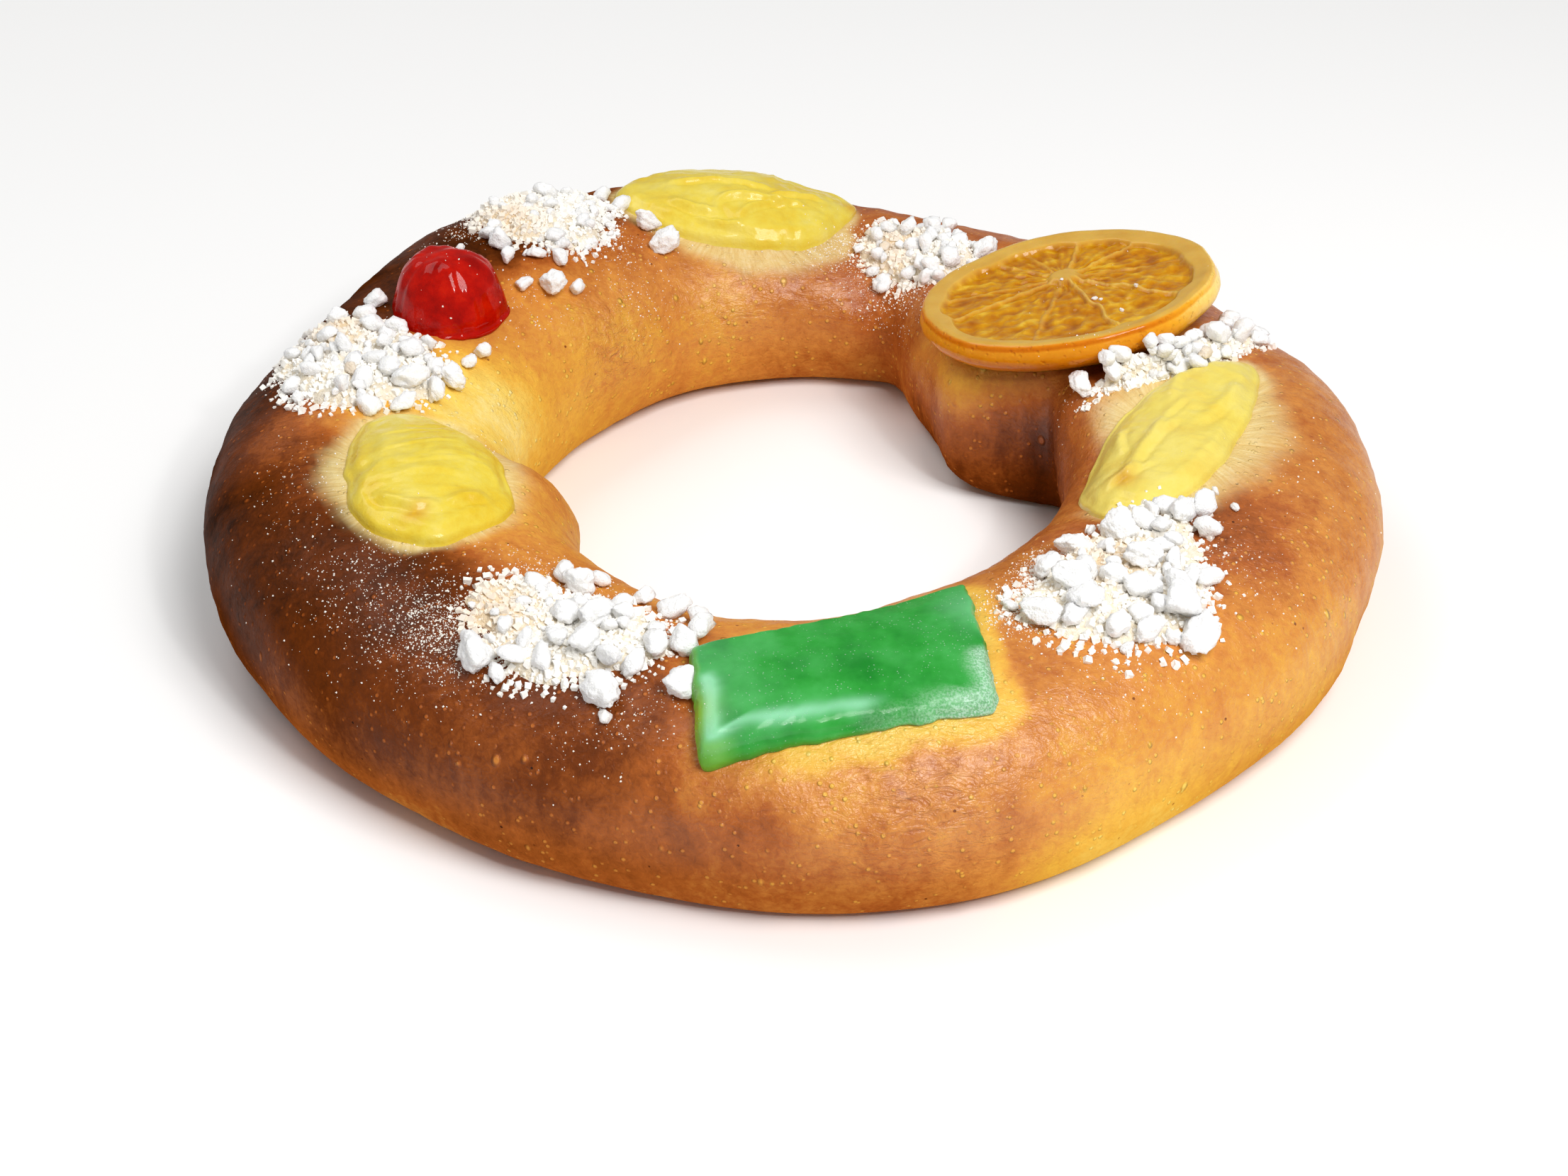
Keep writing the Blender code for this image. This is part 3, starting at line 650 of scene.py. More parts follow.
def makeBread():
    points = castBread()
    local = (points - ringMiddle) / mm
    rise = sum(height * lumpNoise(points / mm, size, 11 + k) for k, (size, height) in enumerate(bread["lumps"]))
    along = np.stack([np.arctan2(local[..., 1], local[..., 0]) * 45,
                      np.hypot(local[..., 0], local[..., 1]), local[..., 2]], -1)
    ridges = 0.5 - np.abs(lumpNoise(along, 3.6, 19)) * 1.6
    for *place, reach, strength in bread["rumples"]:
        rise += strength * bell(farFrom(local, place), reach) * ridges * 0.4
    rise *= step(points[..., 2] / mm, 1, 6)
    points = points + gridNormals(points) * (rise * mm)[..., None]
    points[..., 2] = np.maximum(points[..., 2], 0)
    local = (points - ringMiddle) / mm
    # browning from the spots, real baking mixed with painted shade on the left flank, a painted shadow under the
    # orange slice and a painted warm reflection low on the front and right
    weights = np.full(rise.shape, 0.004)
    baking = weights * 0.5
    for *place, value, reach in bread["spots"]:
        weight = bell(farFrom(local, place), reach * math.sqrt(2))
        weights += weight
        baking += weight * value
    baking = baking / weights
    pale, rumple = np.zeros(rise.shape), np.zeros(rise.shape)
    spokes, closest = np.zeros(points.shape), np.full(rise.shape, 1e9)
    uneven = lumpNoise(local, 9, 31) * 1.8 + lumpNoise(local, 3.5, 32) * 0.7
    for name, (side, end, strength, lowest) in bread["halos"].items():
        lay = lays[name]
        gap = planGap(points[..., :2], planOutline(lay))
        flat = lay.flatten(points)
        across = np.abs(flat[..., 1]) / np.maximum(np.hypot(flat[..., 0] * 0.6, flat[..., 1]), 1e-6)
        width = end + (side - end) * across ** 2
        mark = step(gap + uneven, width, width * 0.2) * step(local[..., 2], lowest, lowest + 4)
        pale = np.maximum(pale, mark * strength)
        if not strength:
            # round this one the crust is only browned less
            mark = mark * (0.25 + 0.75 * step(flat[..., 0] / mm, -24, -8))
            baking = baking + (0.27 - baking) * mark * 0.85
        near = gap < closest
        closest = np.where(near, gap, closest)
        away = points - lay.middle
        unit = away / np.maximum(np.linalg.norm(away, axis=-1, keepdims=True), 1e-9)
        spokes = np.where(near[..., None], unit, spokes)
    for *place, reach, strength in bread["rumples"]:
        rumple = np.maximum(rumple, strength * bell(farFrom(local, place), reach))
    toRight = np.clip(0.5 + local[..., 0] / 160 - local[..., 1] / 500, 0, 1)
    shine = 0.1 + 0.55 * toRight + 0.4 * rumple + 0.3 * bell(farFrom(local, (-5, 66, 25)), 26)
    shine = np.clip(shine + 0.2 * lumpNoise(local, 18, 41), 0, 1) * step(local[..., 2], 8, 26)
    marks = {"baking": baking, "pale": pale, "shine": shine, "spokes": spokes, "rumple": rumple}
    return makePiece(
        "crustedBread", points, gridFaces(*rise.shape, closeRows=True), "crust", ["bread"], marks)


crust = makeBread()
crustTree = treeOf(crust)
print("bread made", len(crust.data.polygons))


custards = {
    # pull: direction, width in radians and how much further the edge goes; folds: start and end along and across
    # in mm, bend, width, height; meet: how wide the slope is, how wide at the lip, and which way the lip faces;
    # scorch: place and reach of a browned spot
    "custard_left": {
        "seed": 3, "pale": 0.05, "grow": 0.2, "pull": [(138, 0.45, 3.4), (-138, 0.45, 3.4)],
        "wrinkles": 0.14, "swell": 0.3, "lip": 1.0, "meet": (8, 2.2, 180), "scorch": [(-19, 4, 2.4)],
        "folds": [
            (-11, 13, -19, -3, -2.5, 1.5, 1.0), (-19, -3, -16, -11, 1, 1.5, 0.8), (-8, 7, -10, -8, 1.5, 1.3, 0.3),
            (2, 10, 4, -9, 1, 0.9, 0.15), (10, 9, 9, -8, 1, 0.8, 0.12), (-3, 6, -2, -10, -1, 0.9, 0.15)]},
    "custard_back": {
        "seed": 4, "pale": 0.1, "grow": 0.5, "pull": [(-160, 0.3, 3.6), (148, 0.5, -3.6), (95, 0.7, -2.2)],
        "wrinkles": 0.3, "swell": 0.6, "lip": 0.6, "meet": (2.5, 2.5, 90), "scorch": [(-28, -5, 2.2)],
        "folds": [
            (17, 1, -12, -2, 2, 1.3, 0.7), (16, 7, 2, 11, -1.5, 1.5, 1.1), (4, 8, -14, 6, 3, 1.4, 1.2),
            (-2, 13, -18, 3, 2.5, 1.2, 1.0), (10, 12, -4, 15, -1, 1.1, 0.8), (-8, 2, -22, -2, 1, 1.2, 0.7)]},
    "custard_right": {
        "seed": 5, "pale": 0.4, "grow": 1.0, "pull": [(-150, 0.5, 1.6)],
        "wrinkles": 0.2, "swell": 0.6, "lip": 0.6, "meet": (6, 2.4, 270), "scorch": [(-21, 0, 2.6)],
        "folds": [
            (-24, -3, 4, -3, 2.5, 1.8, 0.9), (-12, 3, -3, 8, 1, 1.4, 0.6), (0, -6, 22, -7, -1.5, 1.6, 0.7),
            (8, 1, 20, 4, 1.5, 1.5, 0.5), (-26, 2, -14, -5, 1, 1.4, 0.6), (-6, 0, 10, -1, 1.2, 1.2, 0.4)]},
}
custardPlan = {"rings": 92, "spokes": 256, "soften": 6, "wobble": 0.7, "wobbleSize": 9, "blur": 10,
               "edgeRadius": 0.7, "thick": 4}


def foldRise(u, v, fold):
    # a ridge beside a groove along a bent line
    startU, startV, endU, endV, bend, width, height = fold
    share = np.linspace(0, 1, 22)
    sideU, sideV = -(endV - startV), endU - startU
    length = math.hypot(sideU, sideV)
    bow = 4 * share * (1 - share) * bend / length
    lineU = startU + (endU - startU) * share + sideU * bow
    lineV = startV + (endV - startV) * share + sideV * bow
    near = np.full(u.shape, 1e9)
    side, run = np.zeros(u.shape), np.zeros(u.shape)
    for k in range(len(share) - 1):
        stepU, stepV = lineU[k + 1] - lineU[k], lineV[k + 1] - lineV[k]
        part = ((u - lineU[k]) * stepU + (v - lineV[k]) * stepV) / (stepU ** 2 + stepV ** 2)
        part = np.clip(part, 0, 1)
        away = np.hypot(u - lineU[k] - part * stepU, v - lineV[k] - part * stepV)
        turn = stepU * (v - lineV[k]) - stepV * (u - lineU[k])
        closer = away < near
        near = np.where(closer, away, near)
        side = np.where(closer, np.sign(turn), side)
        run = np.where(closer, (k + part) / (len(share) - 1), run)
    signed = near * side
    fade = step(run, 0, 0.25) * step(run, 1, 0.75)
    return height * fade * (bell(signed - width, width) - 0.7 * bell(signed, width * 0.6))


def makeCustard(name, detail):
    def relief(sheet):
        u, v, edge, spots, seed = sheet["u"], sheet["v"], sheet["edge"], sheet["spots"], detail["seed"]
        warped = spots + 1.6 * np.stack([lumpNoise(spots, 8, seed + k) for k in range(3)], -1)
        lines = layeredNoise(warped * (1, 0.16, 1), 2.2, seed + 7, 2)
        patchy = step(lumpNoise(spots, 9, seed + 8), -0.4, 0.4)
        swell = lumpNoise(spots, 12, seed + 9)
        bumps = lumpNoise(warped, 3.5, seed + 10)
        rise = detail["wrinkles"] * lines * patchy + detail["swell"] * swell + 0.22 * bumps
        for fold in detail["folds"]:
            rise = rise + foldRise(u + 0.5 * bumps, v, fold)
        rise = rise + detail["lip"] * 0.6 * bell(edge - 2.6, 1.8)
        scorch = np.zeros(u.shape)
        for x, y, reach in detail["scorch"]:
            scorch = np.maximum(scorch, bell(np.hypot(u - x, v - y) + bumps, reach))
        return rise * step(edge, 0, 2.5), {"scorch": scorch, "pale": detail["pale"] * (1 + 0.4 * swell)}

    pieceName = name.replace("_", "") + "Cream"
    return layPatch(pieceName, lays[name], {**custardPlan, **detail}, relief, "custard")


custardPieces = [makeCustard(name, detail) for name, detail in custards.items()]
print("custards made")


cherry = {"rings": 72, "spokes": 210, "soften": 4, "wobble": 0.6, "wobbleSize": 6, "blur": 16, "edgeRadius": 8,
          "thick": 6, "seed": 8, "tuck": 1.4, "bulge": 0.6, "walls": 8, "facets": 0.45}


def makeCherry():
    def relief(sheet):
        u, v, edge, spots = sheet["u"], sheet["v"], sheet["edge"], sheet["spots"]
        rise = cherry["facets"] * lumpNoise(spots, 7, 21) + 0.3 * lumpNoise(spots, 3, 22)
        rise += 1.6 * (1 - sheet["share"] ** 2) + 0.4 - 1.2 * bell(np.hypot(u - 4, v - 7.5), 4)
        knob = bell(np.hypot(u - 8.4, v - 5.2), 1.6)
        rise += knob * (0.7 + 0.5 * lumpNoise(spots, 1.2, 23))
        return rise * step(edge, 0, 2), {"pale": np.maximum(knob, 0.12 * bell(edge - 2.4, 1.2) * step(v, 3, 6))}

    return layPatch("candiedCherry", lays["cherry"], cherry, relief, "cherry")


cherryPiece = makeCherry()
print("cherry made")


strip = {"rings": 96, "spokes": 340, "soften": 6, "wobble": 0.55, "wobbleSize": 4, "blur": 12, "edgeRadius": 1.2,
         "thick": 4, "seed": 12, "hold": 0.96, "walls": 6, "sink": 0.2, "bulge": 0.5, "tuck": 0.3,
         # from its top to its bottom the side gets more painted glow and less of the mint band with its painted
         # highlight
         "wallTone": {"glow": (0, 0.3), "mint": (-0.2, -0.5)}}


def makeStrip():
    def relief(sheet):
        u, v, edge, spots = sheet["u"], sheet["v"], sheet["edge"], sheet["spots"]
        rise = 0.4 * lumpNoise(spots * (1, 0.5, 1), 12, 51) + 0.1 * lumpNoise(spots, 4, 52)
        ragged = lumpNoise(spots, 7, 53)
        front = step(-v, 3, 6)
        # the front edge slopes down; sugar has dried along it and at its right end
        slope = front * np.clip(1 - edge / 3.2, 0, 1)
        band = front * bell(edge - 2.8 + ragged * 0.9, 1.5) * step(u, 8, 0) * (0.85 + 0.3 * ragged)
        corner = front * step(edge + ragged * 2.2, 6.5, 0.5) * step(u + ragged * 3, 6, 24)
        # soft: paler mint at the left end and a painted highlight at the back-right corner, added to the mint band
        soft = 0.22 * bell((u + 30) / 2, 7) + 0.4 * bell(np.hypot(u - 27, v - 8), 7) + 0.06 * ragged
        # painted glow: light shining through the thin left edge, and the yellower lower-left tip
        left = step(-u, 20, 26) * step(edge, 1.6, 0.2)
        marks = {"frost": corner + 0.3 * slope * step(u, -2, 4), "mint": band + soft,
                 "glow": 0.3 * left + 0.6 * bell(np.hypot(u + 29, v + 12), 4)}
        return (rise * step(edge, 0, 3) - 1.1 * slope ** 2,
                {mark: np.clip(values, 0, 1) for mark, values in marks.items()})

    return layPatch("candiedGreenStrip", lays["green_strip"], strip, relief, "green")


stripPiece = makeStrip()
print("green strip made")


orange = {"rings": 104, "spokes": 400, "soften": 3, "wobble": 0.4, "wobbleSize": 14, "blur": 20, "edgeRadius": 0.9,
          "thick": 5.6, "thickness": 7.2, "seed": 17, "hold": 0.9, "walls": 14, "bulge": 1.0, "tuck": 3.4,
          "wallTone": {"deep": (-0.25, 0.25)},
          "segments": 10, "hub": (-0.5, 8), "hubRadius": 3.4, "web": 0.5, "pithWidth": (3.2, 5.2), "rindWidth": 0.5,
          "sink": 1.3}


def makeSlice():
    dice = np.random.default_rng(orange["seed"])
    count = orange["segments"]
    walls = np.arange(count) / count * 2 * math.pi - math.pi + dice.uniform(-0.16, 0.16, count)
    strength = dice.uniform(0.35, 1.0, count)

    def relief(sheet):
        u, v, edge, spots = sheet["u"], sheet["v"], sheet["edge"], sheet["spots"]
        hubU, hubV = orange["hub"]
        angle = np.arctan2(v - hubV, u - hubU)
        spread = np.hypot(u - hubU, v - hubV)
        bent = angle + 0.05 * lumpNoise(spots, 7, 63)
        gap, clear = np.full(u.shape, 1e9), np.zeros(u.shape)
        for wall, strong in zip(walls, strength):
            off = np.abs(wrapped(bent - wall))
            away = np.where(off < 1.2, spread * np.sin(np.minimum(off, 1.5)), 1e9)
            clear = np.where(away < gap, strong, clear)
            gap = np.minimum(gap, away)
        narrow, wide = orange["pithWidth"]
        right = 0.5 + 0.5 * np.sin(sheet["angle"] + 0.4)
        pulpEdge = orange["rindWidth"] + narrow + (wide - narrow) * right + 0.5 * lumpNoise(spots, 6, 64)
        scallop = 1.3 * bell(gap, 3) * clear
        inside = step(edge, pulpEdge + scallop - 0.5, pulpEdge + scallop + 0.6)
        hub = step(spread + 0.8 * lumpNoise(spots, 4, 65), orange["hubRadius"] + 1, orange["hubRadius"] - 1)
        wallMark = step(gap, orange["web"] + 0.3, 0.15) * clear
        cells = lumpNoise(np.stack([spread / 5.5, angle * 5, np.zeros(u.shape)], -1), 0.55, 61)
        rough = layeredNoise(spots, 2.6, 66, 2)
        pulp = inside * (1 - hub)
        rise = pulp * (-orange["sink"] + 0.3 * cells + 0.24 * rough + 0.9 * wallMark + 0.4 * bell(gap - 3, 2.5))
        rise = rise + 0.4 * lumpNoise(spots, 12, 62) + hub * inside * 0.1
        rise = rise * step(edge, 0, 2) + 0.2 * bell(edge - 1.6, 1.0)
        rind = step(edge, orange["rindWidth"] + 0.4, orange["rindWidth"] - 0.2)
        deep = 0.52 - 0.5 * step(np.cos(sheet["angle"] - 0.2), 0.2, 0.9) + 0.2 * bell(edge, 0.5)
        return rise, {"pith": np.maximum(1 - inside, hub * 0.85), "rind": rind, "web": wallMark, "deep": deep,
                      "vesicle": 0.5 + 0.5 * cells}

    return layPatch("candiedOrangeSlice", lays["orange_slice"], orange, relief, "orange")


slicePiece = makeSlice()
print("orange slice made")


sugar = {
    # heading: of the heap's long side; more: how many nibs besides the big ones, between the two sizes;
    # bed: share of the depth that fine sugar fills; thick: x, y and reach of where the nibs gather;
    # beige: where the sugar is damp; big: x, y and width in mm of the nibs listed one by one
    "sugar_back_left": {
        "heading": 30, "more": 34, "size": (1.4, 3.2), "grains": 2100, "bed": 0.75,
        "thick": (-50, 70, 12), "beige": (-62, 72),
        "big": [
            (-31, 81, 5.4), (-27, 74, 5.6), (-37, 90, 4.6), (-42, 95, 3.6), (-54, 84, 4.4), (-51, 66, 4.2),
            (-63, 63, 4.6), (-61, 57, 4), (-66, 67, 3.6), (-55, 59, 3.6), (-50, 59, 4.2), (-57, 49, 3.8),
            (-51, 50, 5.8), (-46, 52, 3.6), (-43, 79, 2.8), (-57, 87, 2.8)]},
    "sugar_left": {
        "heading": 120, "more": 30, "size": (1.6, 3.6), "grains": 1900, "bed": 0.6,
        "thick": (-82, 16, 12), "beige": (-96, 34),
        "big": [
            (-89, 44, 4.8), (-97, 39, 4.2), (-98, 29, 4.2), (-91, 38, 4.8), (-84, 32, 4.8), (-81, 34, 3.6),
            (-88, 31, 4.8), (-93, 20, 4.2), (-99, 20, 3.8), (-99, 11, 3.8), (-86, 15, 4.6), (-85, 22, 3.6),
            (-92, 4, 3.8), (-88, 8, 5.2), (-83, 11, 4.2), (-79, 20, 4.2), (-78, 8, 6), (-76, 25, 3.6),
            (-74, 30, 3.8), (-74, 17, 3.6), (-70, 14, 5.4), (-73, 7, 5.2), (-86, -1, 4.6), (-79, 1, 5.2),
            (-65, 27, 3.6)]},
    "sugar_front_left": {
        "heading": 155, "more": 14, "size": (1.4, 3), "grains": 2200, "bed": 0.5,
        "thick": (-46, -74, 9), "beige": (-56, -74),
        "big": [
            (-58, -86, 7), (-54, -89, 3.8), (-51, -87, 4.6), (-49, -83, 4), (-53, -79, 4), (-48, -65, 4.6),
            (-43, -60, 4), (-40, -64, 5.4), (-36, -60, 3.8), (-32, -72, 4.2), (-28, -68, 4), (-22, -72, 5.2),
            (-17, -75, 4.4), (-31, -77, 4), (-36, -78, 5.6), (-42, -76, 5.2), (-43, -83, 4.4), (-38, -86, 6.6),
            (-46, -88, 4.6), (-33, -90, 5.2), (-29, -91, 4.6), (-25, -81, 4.2), (-25, -87, 4.8), (-20, -86, 4.8),
            (-17, -81, 5.2), (-35, -97, 6), (-20, -98, 6.4)]},
    "sugar_back_right": {
        "heading": 135, "more": 30, "size": (1.8, 3.8), "grains": 1500, "bed": 0.75,
        "thick": (36, 77, 7), "beige": (24, 80),
        "big": [
            (45, 74, 5.4), (37, 70, 5), (32, 77, 4.6), (24, 85, 3.6), (28, 83, 4), (34, 83, 4.6), (38, 90, 3.4),
            (40, 79, 4), (33, 69, 3.6), (22, 72, 3.8)]},
    "sugar_right": {
        "heading": 26, "more": 34, "size": (1.8, 4), "grains": 1100, "bed": 0.8,
        "thick": (82, 15, 10), "beige": (71, 20),
        "big": [
            (57, 12, 4.4), (61, 6, 5.4), (67, 5, 4.6), (62, 19, 4.2), (74, 19, 5), (78, 20, 4.2), (81, 8, 5.2),
            (83, 14, 4), (85, 10, 4.2), (87, 26, 4.4), (90, 16, 5.2), (95, 31, 3.6), (96, 20, 5.2), (100, 26, 4),
            (79, 28, 4.2), (71, 23, 4), (69, 19, 3.6), (88, 21, 3.8), (78, 13, 3.6)]},
    "sugar_front_right": {
        "heading": 56, "more": 12, "size": (1.8, 3.4), "grains": 1600, "bed": 0.45,
        "thick": (58, -72, 9), "beige": (60, -62),
        "big": [
            (73, -44, 4.4), (76, -47, 5.8), (80, -45, 4.4), (80, -52, 5.2), (68, -50, 4.4), (71, -53, 4.6),
            (63, -52, 5.8), (54, -56, 5.8), (70, -58, 4.6), (66, -63, 6.2), (72, -63, 4), (75, -67, 3.8),
            (79, -66, 5.2), (48, -64, 5.6), (55, -68, 5), (60, -70, 4), (52, -72, 6.2), (65, -73, 5.8),
            (72, -72, 5.6), (68, -77, 4.4), (54, -78, 6.4), (46, -81, 6.2), (52, -82, 4.6), (64, -80, 4),
            (60, -84, 4.8), (65, -84, 5.2), (70, -83, 3.2), (72, -77, 6.8), (75, -82, 7.2)]},
}
# single nibs away from the heaps: x, y, width
looseNibs = [
    (83, -39, 1.6), (-34, -101, 3), (86, -44, 2.2), (21, 72, 3), (-72, 62, 2), (66, 33, 1.2), (67.2, 32, 0.8),
    (75, 35, 1.2), (71, 25, 1), (60, 45, 0.8)]
# fine dust: x, y, reach along and across, heading, how many
dustZones = [
    (-62, -78, 15, 10, 150, 2600), (-80, -62, 20, 14, 120, 700), (-97, -30, 18, 10, 90, 160),
    (-30, -100, 16, 8, 10, 300), (-44, -60, 14, 7, 160, 400), (-66, 78, 14, 8, 50, 900), (-35, 66, 16, 9, 120, 400),
    (-60, 44, 16, 8, 30, 220), (24, 72, 12, 12, 100, 1500), (47, -64, 11, 5, 72, 1300), (14, 84, 9, 12, 100, 700),
    (35, 60, 8, 10, 100, 300), (44, -76, 9, 8, 60, 1700), (82, -60, 12, 14, 60, 260), (60, -94, 16, 6, 10, 160),
    (60, 10, 10, 6, 30, 160), (-98, 30, 10, 12, 110, 500), (-72, 40, 12, 12, 0, 60), (61, 40, 22, 22, 0, 70),
    (-60, 0, 22, 16, 0, 60), (100, -30, 16, 16, 0, 60)]
bedPlan = {"rings": 40, "spokes": 130, "soften": 8, "wobble": 1.4, "wobbleSize": 16, "blur": 6, "edgeRadius": 0.4,
           "thick": 4, "grow": 0.5, "sink": 1.0}


def makeBed(name, lay, detail, seed):
    def relief(sheet):
        space, height = sheet["space"], sheet["height"] / mm
        ground = filledOutward(lay.drop(crustTree, sheet["flat"])) / mm
        clump = lumpNoise(space, 5, seed + 1)
        grains = lumpNoise(space, 1.6, seed) * 0.4 + clump * 0.6
        inward = sheet["edge"] + clump * 3
        thick = np.maximum(np.maximum(height - ground, 0) * detail["bed"] * (0.8 + 0.4 * clump), 0.6) + 0.5
        bed = ground - 1.0 + thick * step(inward, 0.5, 5) + grains * 0.6 * step(inward, 3, 7)
        damp = bell(farFrom(space[..., :2], middleMm + detail["beige"]), 9)
        return bed - height, {"toast": 0.5 * damp}

    return layPatch(name.replace("_", "") + "Bed", lay, {**bedPlan, "seed": seed}, relief, "bed")


def ballPoints(levels):
    work = bmesh.new()
    bmesh.ops.create_icosphere(work, subdivisions=levels, radius=1.0)
    points = np.array([v.co for v in work.verts])
    faces = np.array([[v.index for v in f.verts] for f in work.faces])
    work.free()
    return points, faces


def chippedLump(dice, ball, facets=9, sharp=15):
    # a lump with flat chips and softened corners, about 2 across
    ways = dice.normal(size=(facets, 3))
    ways /= np.linalg.norm(ways, axis=1, keepdims=True)
    depths = dice.uniform(0.7, 1.05, facets)
    facing = np.maximum(ball @ ways.T, 0) / depths
    reach = np.minimum((np.sum(facing ** sharp, axis=1) + 0.75 ** sharp) ** (-1 / sharp), 1.2)
    points = ball * reach[:, None]
    rough = 0.18 * layeredNoise(points + dice.uniform(0, 50, 3), 0.5, 5, 3)
    points = points * (1 + rough)[:, None]
    return points * np.array([1.15, dice.uniform(0.66, 1.0), dice.uniform(0.62, 0.9)])


# above all of it, and what stands for no surface at all, in mm
skyHeight = 90
nothing = -99.0


def topOf(tree, x, y):
    # how high a surface lies at a place, in mm
    hit = tree.ray_cast(Vector((x * mm, y * mm, skyHeight * mm)), Vector((0, 0, -1)))[0]
    return nothing if hit is None else hit.z / mm


class Heap:
    # a fine map of how high the sugar lies, so that each nib rests on what is under it
    cell = 0.5
    margin = 12

    def __init__(self, low, high, trees, bare):
        self.low = np.array(low[:2]) / mm - self.margin
        size = (np.array(high[:2]) / mm + self.margin - self.low) / self.cell
        self.shape = (int(size[0]) + 1, int(size[1]) + 1)
        self.level = np.full(self.shape, nothing)
        for i, j in np.ndindex(self.shape):
            x, y = self.low + (i * self.cell, j * self.cell)
            if all(topOf(tree, x, y) == nothing for tree in bare):
                self.level[i, j] = max(topOf(tree, x, y) for tree in trees)
        self.ground = self.level.copy()

    def near(self, level, x, y, radius):
        i, j = ((np.array([x, y]) - self.low) / self.cell).astype(int)
        r = max(int(radius / self.cell), 1)
        return level[max(i - r, 0):i + r + 1, max(j - r, 0):j + r + 1]

    def under(self, x, y, radius):
        # how high a lump rests here, and how deep the sugar already is; nothing rests on a topping
        part, ground = self.near(self.level, x, y, radius), self.near(self.ground, x, y, radius)
        if not part.size or ground.min() < piling["lowest"]:
            return nothing, -nothing
        rest = float(np.percentile(part, 60))
        return rest, rest - float(ground.mean())

    def pile(self, x, y, radius, top):
        gridX, gridY = np.meshgrid(np.arange(self.shape[0]), np.arange(self.shape[1]), indexing="ij")
        away = np.hypot(gridX * self.cell + self.low[0] - x, gridY * self.cell + self.low[1] - y)
        dome = top - radius * 0.9 * (1 - np.sqrt(np.maximum(1 - (away / radius) ** 2, 0)))
        self.level = np.where(away < radius, np.maximum(self.level, dome), self.level)


class Scatter:
    # many small solids gathered into one mesh
    def __init__(self):
        self.points, self.faces, self.toast, self.count = [], [], [], 0

    def put(self, points, faces, toast):
        self.points.append(points)
        self.faces.append(faces + self.count)
        self.toast.append(np.full(len(points), toast))
        self.count += len(points)

    def finish(self, name, finish, smooth, nodes=()):
        points, faces = np.vstack(self.points) * mm, np.vstack(self.faces)
        marks = {"toast": np.concatenate(self.toast)}
        makePiece(name, points, faces.tolist(), finish, nodes, marks, smooth)
        print(name, len(faces), "faces")


# nibs from what width on get the finer ball, how deep they sit and where the next one rests, as shares of
# their own height, and how low in mm nibs and dust may lie
piling = {"fineFrom": 5.2, "sunk": 0.82, "topAt": 0.9, "lowest": 5, "lowestDust": 12}
balls = {"large": ballPoints(4), "small": ballPoints(3)}
cubeCorners = np.array([(x, y, z) for x in (-1, 1) for y in (-1, 1) for z in (-1, 1)], float)
cubeFaces = np.array([(0, 1, 3), (0, 3, 2), (4, 6, 7), (4, 7, 5), (0, 4, 5), (0, 5, 1), (2, 3, 7), (2, 7, 6),
                      (0, 2, 6), (0, 6, 4), (1, 5, 7), (1, 7, 3)])
speckPoints = np.array([(1, 0, 0), (-1, 0, 0), (0, 1, 0), (0, -1, 0), (0, 0, 1), (0, 0, -1)], float)
speckFaces = np.array([(0, 2, 4), (2, 1, 4), (1, 3, 4), (3, 0, 4), (2, 0, 5), (1, 2, 5), (3, 1, 5), (0, 3, 5)])


def turned(points, dice, tilt=0.6):
    turn = Euler((dice.uniform(-tilt, tilt), dice.uniform(-tilt, tilt), dice.uniform(0, 6.28))).to_matrix()
    return points @ np.array(turn).T


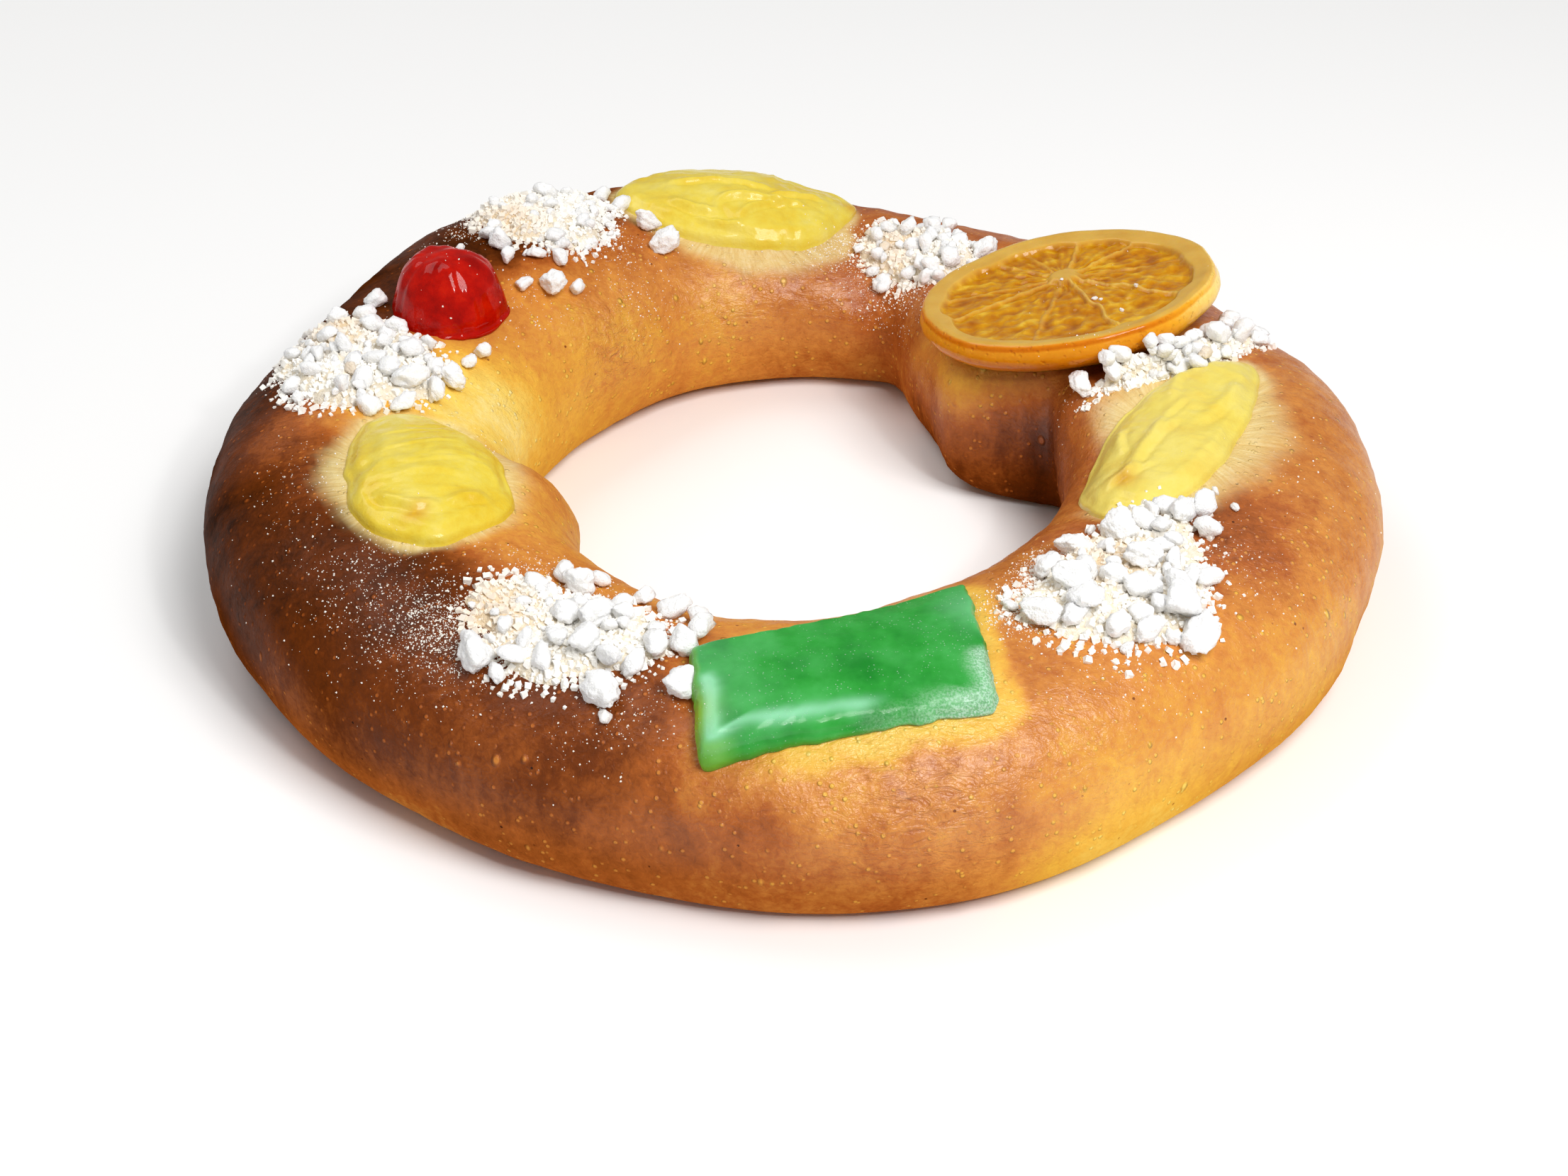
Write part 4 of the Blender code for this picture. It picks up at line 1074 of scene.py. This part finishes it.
def makeSugar():
    nibs, grains, dust = Scatter(), Scatter(), Scatter()
    bare = [treeOf(piece) for piece in (stripPiece, slicePiece, cherryPiece)]
    creams = [treeOf(piece) for piece in custardPieces]

    def onTop(x, y):
        # the highest surface at a place, and whose it is; the crust is number 0
        return max((topOf(tree, x, y), k) for k, tree in enumerate([crustTree, *bare, *creams]))

    def putNib(dice, x, y, size, under, toast):
        # a nib sunk a little into what it lies on, and how high its top comes
        ball, faces = balls["large" if size > piling["fineFrom"] else "small"]
        lump = turned(chippedLump(dice, ball), dice) * size / 2
        centre = under - lump[:, 2].min() * piling["sunk"]
        nibs.put(lump + (x, y, centre), faces, toast)
        return centre + lump[:, 2].max() * piling["topAt"]

    for k, (name, detail) in enumerate(sugar.items()):
        dice = np.random.default_rng(100 + k)
        lay = Lay(name, detail["heading"])
        bed = makeBed(name, lay, detail, 70 + k)
        heap = Heap(*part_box(name), [crustTree, treeOf(bed), *creams], bare)
        outline = lay.outline(60)
        middle = outline.mean(0)
        thickX, thickY, thickReach = detail["thick"]

        def anySpot(spread, stray):
            spoke = outline[dice.integers(60)] - middle
            flat = middle + spoke * (dice.uniform() ** 0.55 * spread + dice.normal() * stray)
            return lay.lift(flat, 0.0)[:2] / mm

        def nibSpot():
            if dice.uniform() < 0.45:
                return middleMm + (thickX, thickY) + dice.normal(size=2) * thickReach * 0.6
            return anySpot(0.98, 0.03)

        for _ in range(detail["grains"]):
            spot = anySpot(1.0, 0.1)
            under = heap.under(*spot, 0.3)[0]
            if under < piling["lowest"]:
                continue
            size = 0.45 + 1.1 * dice.uniform() ** 2.5
            body = turned(cubeCorners * dice.uniform(0.7, 1.0, 3) + dice.normal(size=(8, 3)) * 0.14, dice, 1.5)
            damp = bell(farFrom(spot, middleMm + detail["beige"]), 9)
            grains.put(body * size / 2 + (*spot, under + size * 0.15), cubeFaces, 0.35 * damp)
        for x, y, size in detail["big"]:
            x, y = middleMm + (x, y)
            under = heap.under(x, y, size * 0.25)[0]
            if under > piling["lowest"]:
                heap.pile(x, y, size * 0.5, putNib(dice, x, y, size, under, 0.0))
        small, large = detail["size"]
        for _ in range(detail["more"]):
            # the shallowest of a few places
            size = small + (large - small) * dice.uniform() ** 1.3
            tries = []
            for x, y in (nibSpot() for _ in range(4)):
                under, deep = heap.under(x, y, size * 0.4)
                if under > piling["lowest"]:
                    tries.append((deep, under, x, y))
            if tries:
                deep, under, x, y = min(tries)
                toast = float(dice.uniform() < 0.05) * 0.5
                heap.pile(x, y, size * 0.5, putNib(dice, x, y, size, under, toast))
    dice = np.random.default_rng(140)
    for x, y, size in looseNibs:
        x, y = middleMm + (x, y)
        putNib(dice, x, y, size, onTop(x, y)[0] - 0.2, 0.1)
    dice = np.random.default_rng(150)
    for x, y, along, across, heading, count in dustZones:
        cosine, sine = math.cos(math.radians(heading)), math.sin(math.radians(heading))
        for _ in range(count):
            a, b = dice.normal(size=2) * (along, across) * 0.55
            spot = middleMm + (x, y) + (a * cosine - b * sine, a * sine + b * cosine)
            under, whose = onTop(*spot)
            size = 0.2 + 0.45 * dice.uniform() ** 4
            body = turned(speckPoints * dice.uniform(0.7, 1.0, 3), dice, 1.5) * size / 2
            if under > piling["lowestDust"] and (whose == 0 or dice.uniform() < 0.15):
                dust.put(body + (*spot, under + size * 0.15), speckFaces, dice.uniform(0, 0.2))
    print("scattered")
    nibs.finish("pearlSugarNibs", "nib", True, list(sugar))
    grains.finish("sugarCrystals", "grain", False)
    dust.finish("sugarDust", "dust", False)


makeSugar()


studio = {
    "floorTones": ((250, 249, 248), (252, 252, 251)), "worldTone": (255, 255, 255), "worldPower": 0.3,
    # lights: place, power, width
    "lights": {"keyLight": ((0.34, -0.46, 0.84), 7.4, 0.45), "backLight": ((-0.45, 0.35, 0.8), 2.6, 0.6),
               "sparkLight": ((0.36, -0.66, 0.66), 1.3, 0.07)},
    "cameraPlace": (-0.0001, -0.5390, 0.3622), "cameraTurn": (55.558, 0.983, -0.515), "lens": 70,
    "sensorWidth": 36, "floorWidth": 6, "floorCloud": 300,
}


def makeStudio():
    scene = bpy.context.scene
    bpy.ops.mesh.primitive_plane_add(size=studio["floorWidth"], location=(0, 0, 0))
    floor = bpy.context.object
    floor.name = "studioFloor"
    recipe = Recipe("studioFloor")
    soft = recipe.noise(studio["floorCloud"], 2)
    floor.data.materials.append(recipe.close({
        "Base Color": recipe.mix(soft, *studio["floorTones"]), "Roughness": 0.8}))
    for name, (place, power, size) in studio["lights"].items():
        light = bpy.data.lights.new(name, "AREA")
        light.energy = power
        light.size = size
        lamp = bpy.data.objects.new(name, light)
        lamp.location = place
        lamp.rotation_euler = (-Vector(place)).to_track_quat("-Z", "Y").to_euler()
        scene.collection.objects.link(lamp)
    world = bpy.data.worlds.new("studio")
    world.use_nodes = True
    background = world.node_tree.nodes["Background"].inputs
    background["Color"].default_value = tone(studio["worldTone"])
    background["Strength"].default_value = studio["worldPower"]
    scene.world = world
    scene.view_settings.view_transform = "Standard"
    view = bpy.data.cameras.new("camera")
    view.lens = studio["lens"]
    view.sensor_width = studio["sensorWidth"]
    camera = bpy.data.objects.new("camera", view)
    camera.location = studio["cameraPlace"]
    camera.rotation_euler = [math.radians(a) for a in studio["cameraTurn"]]
    scene.collection.objects.link(camera)
    scene.camera = camera


makeStudio()
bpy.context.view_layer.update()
shown = [piece for piece in bpy.context.scene.objects
         if piece.type == "MESH" and piece.name != "studioFloor" and not piece.hide_render]
print("finished", sum(len(face.vertices) - 2 for piece in shown for face in piece.data.polygons), "triangles")
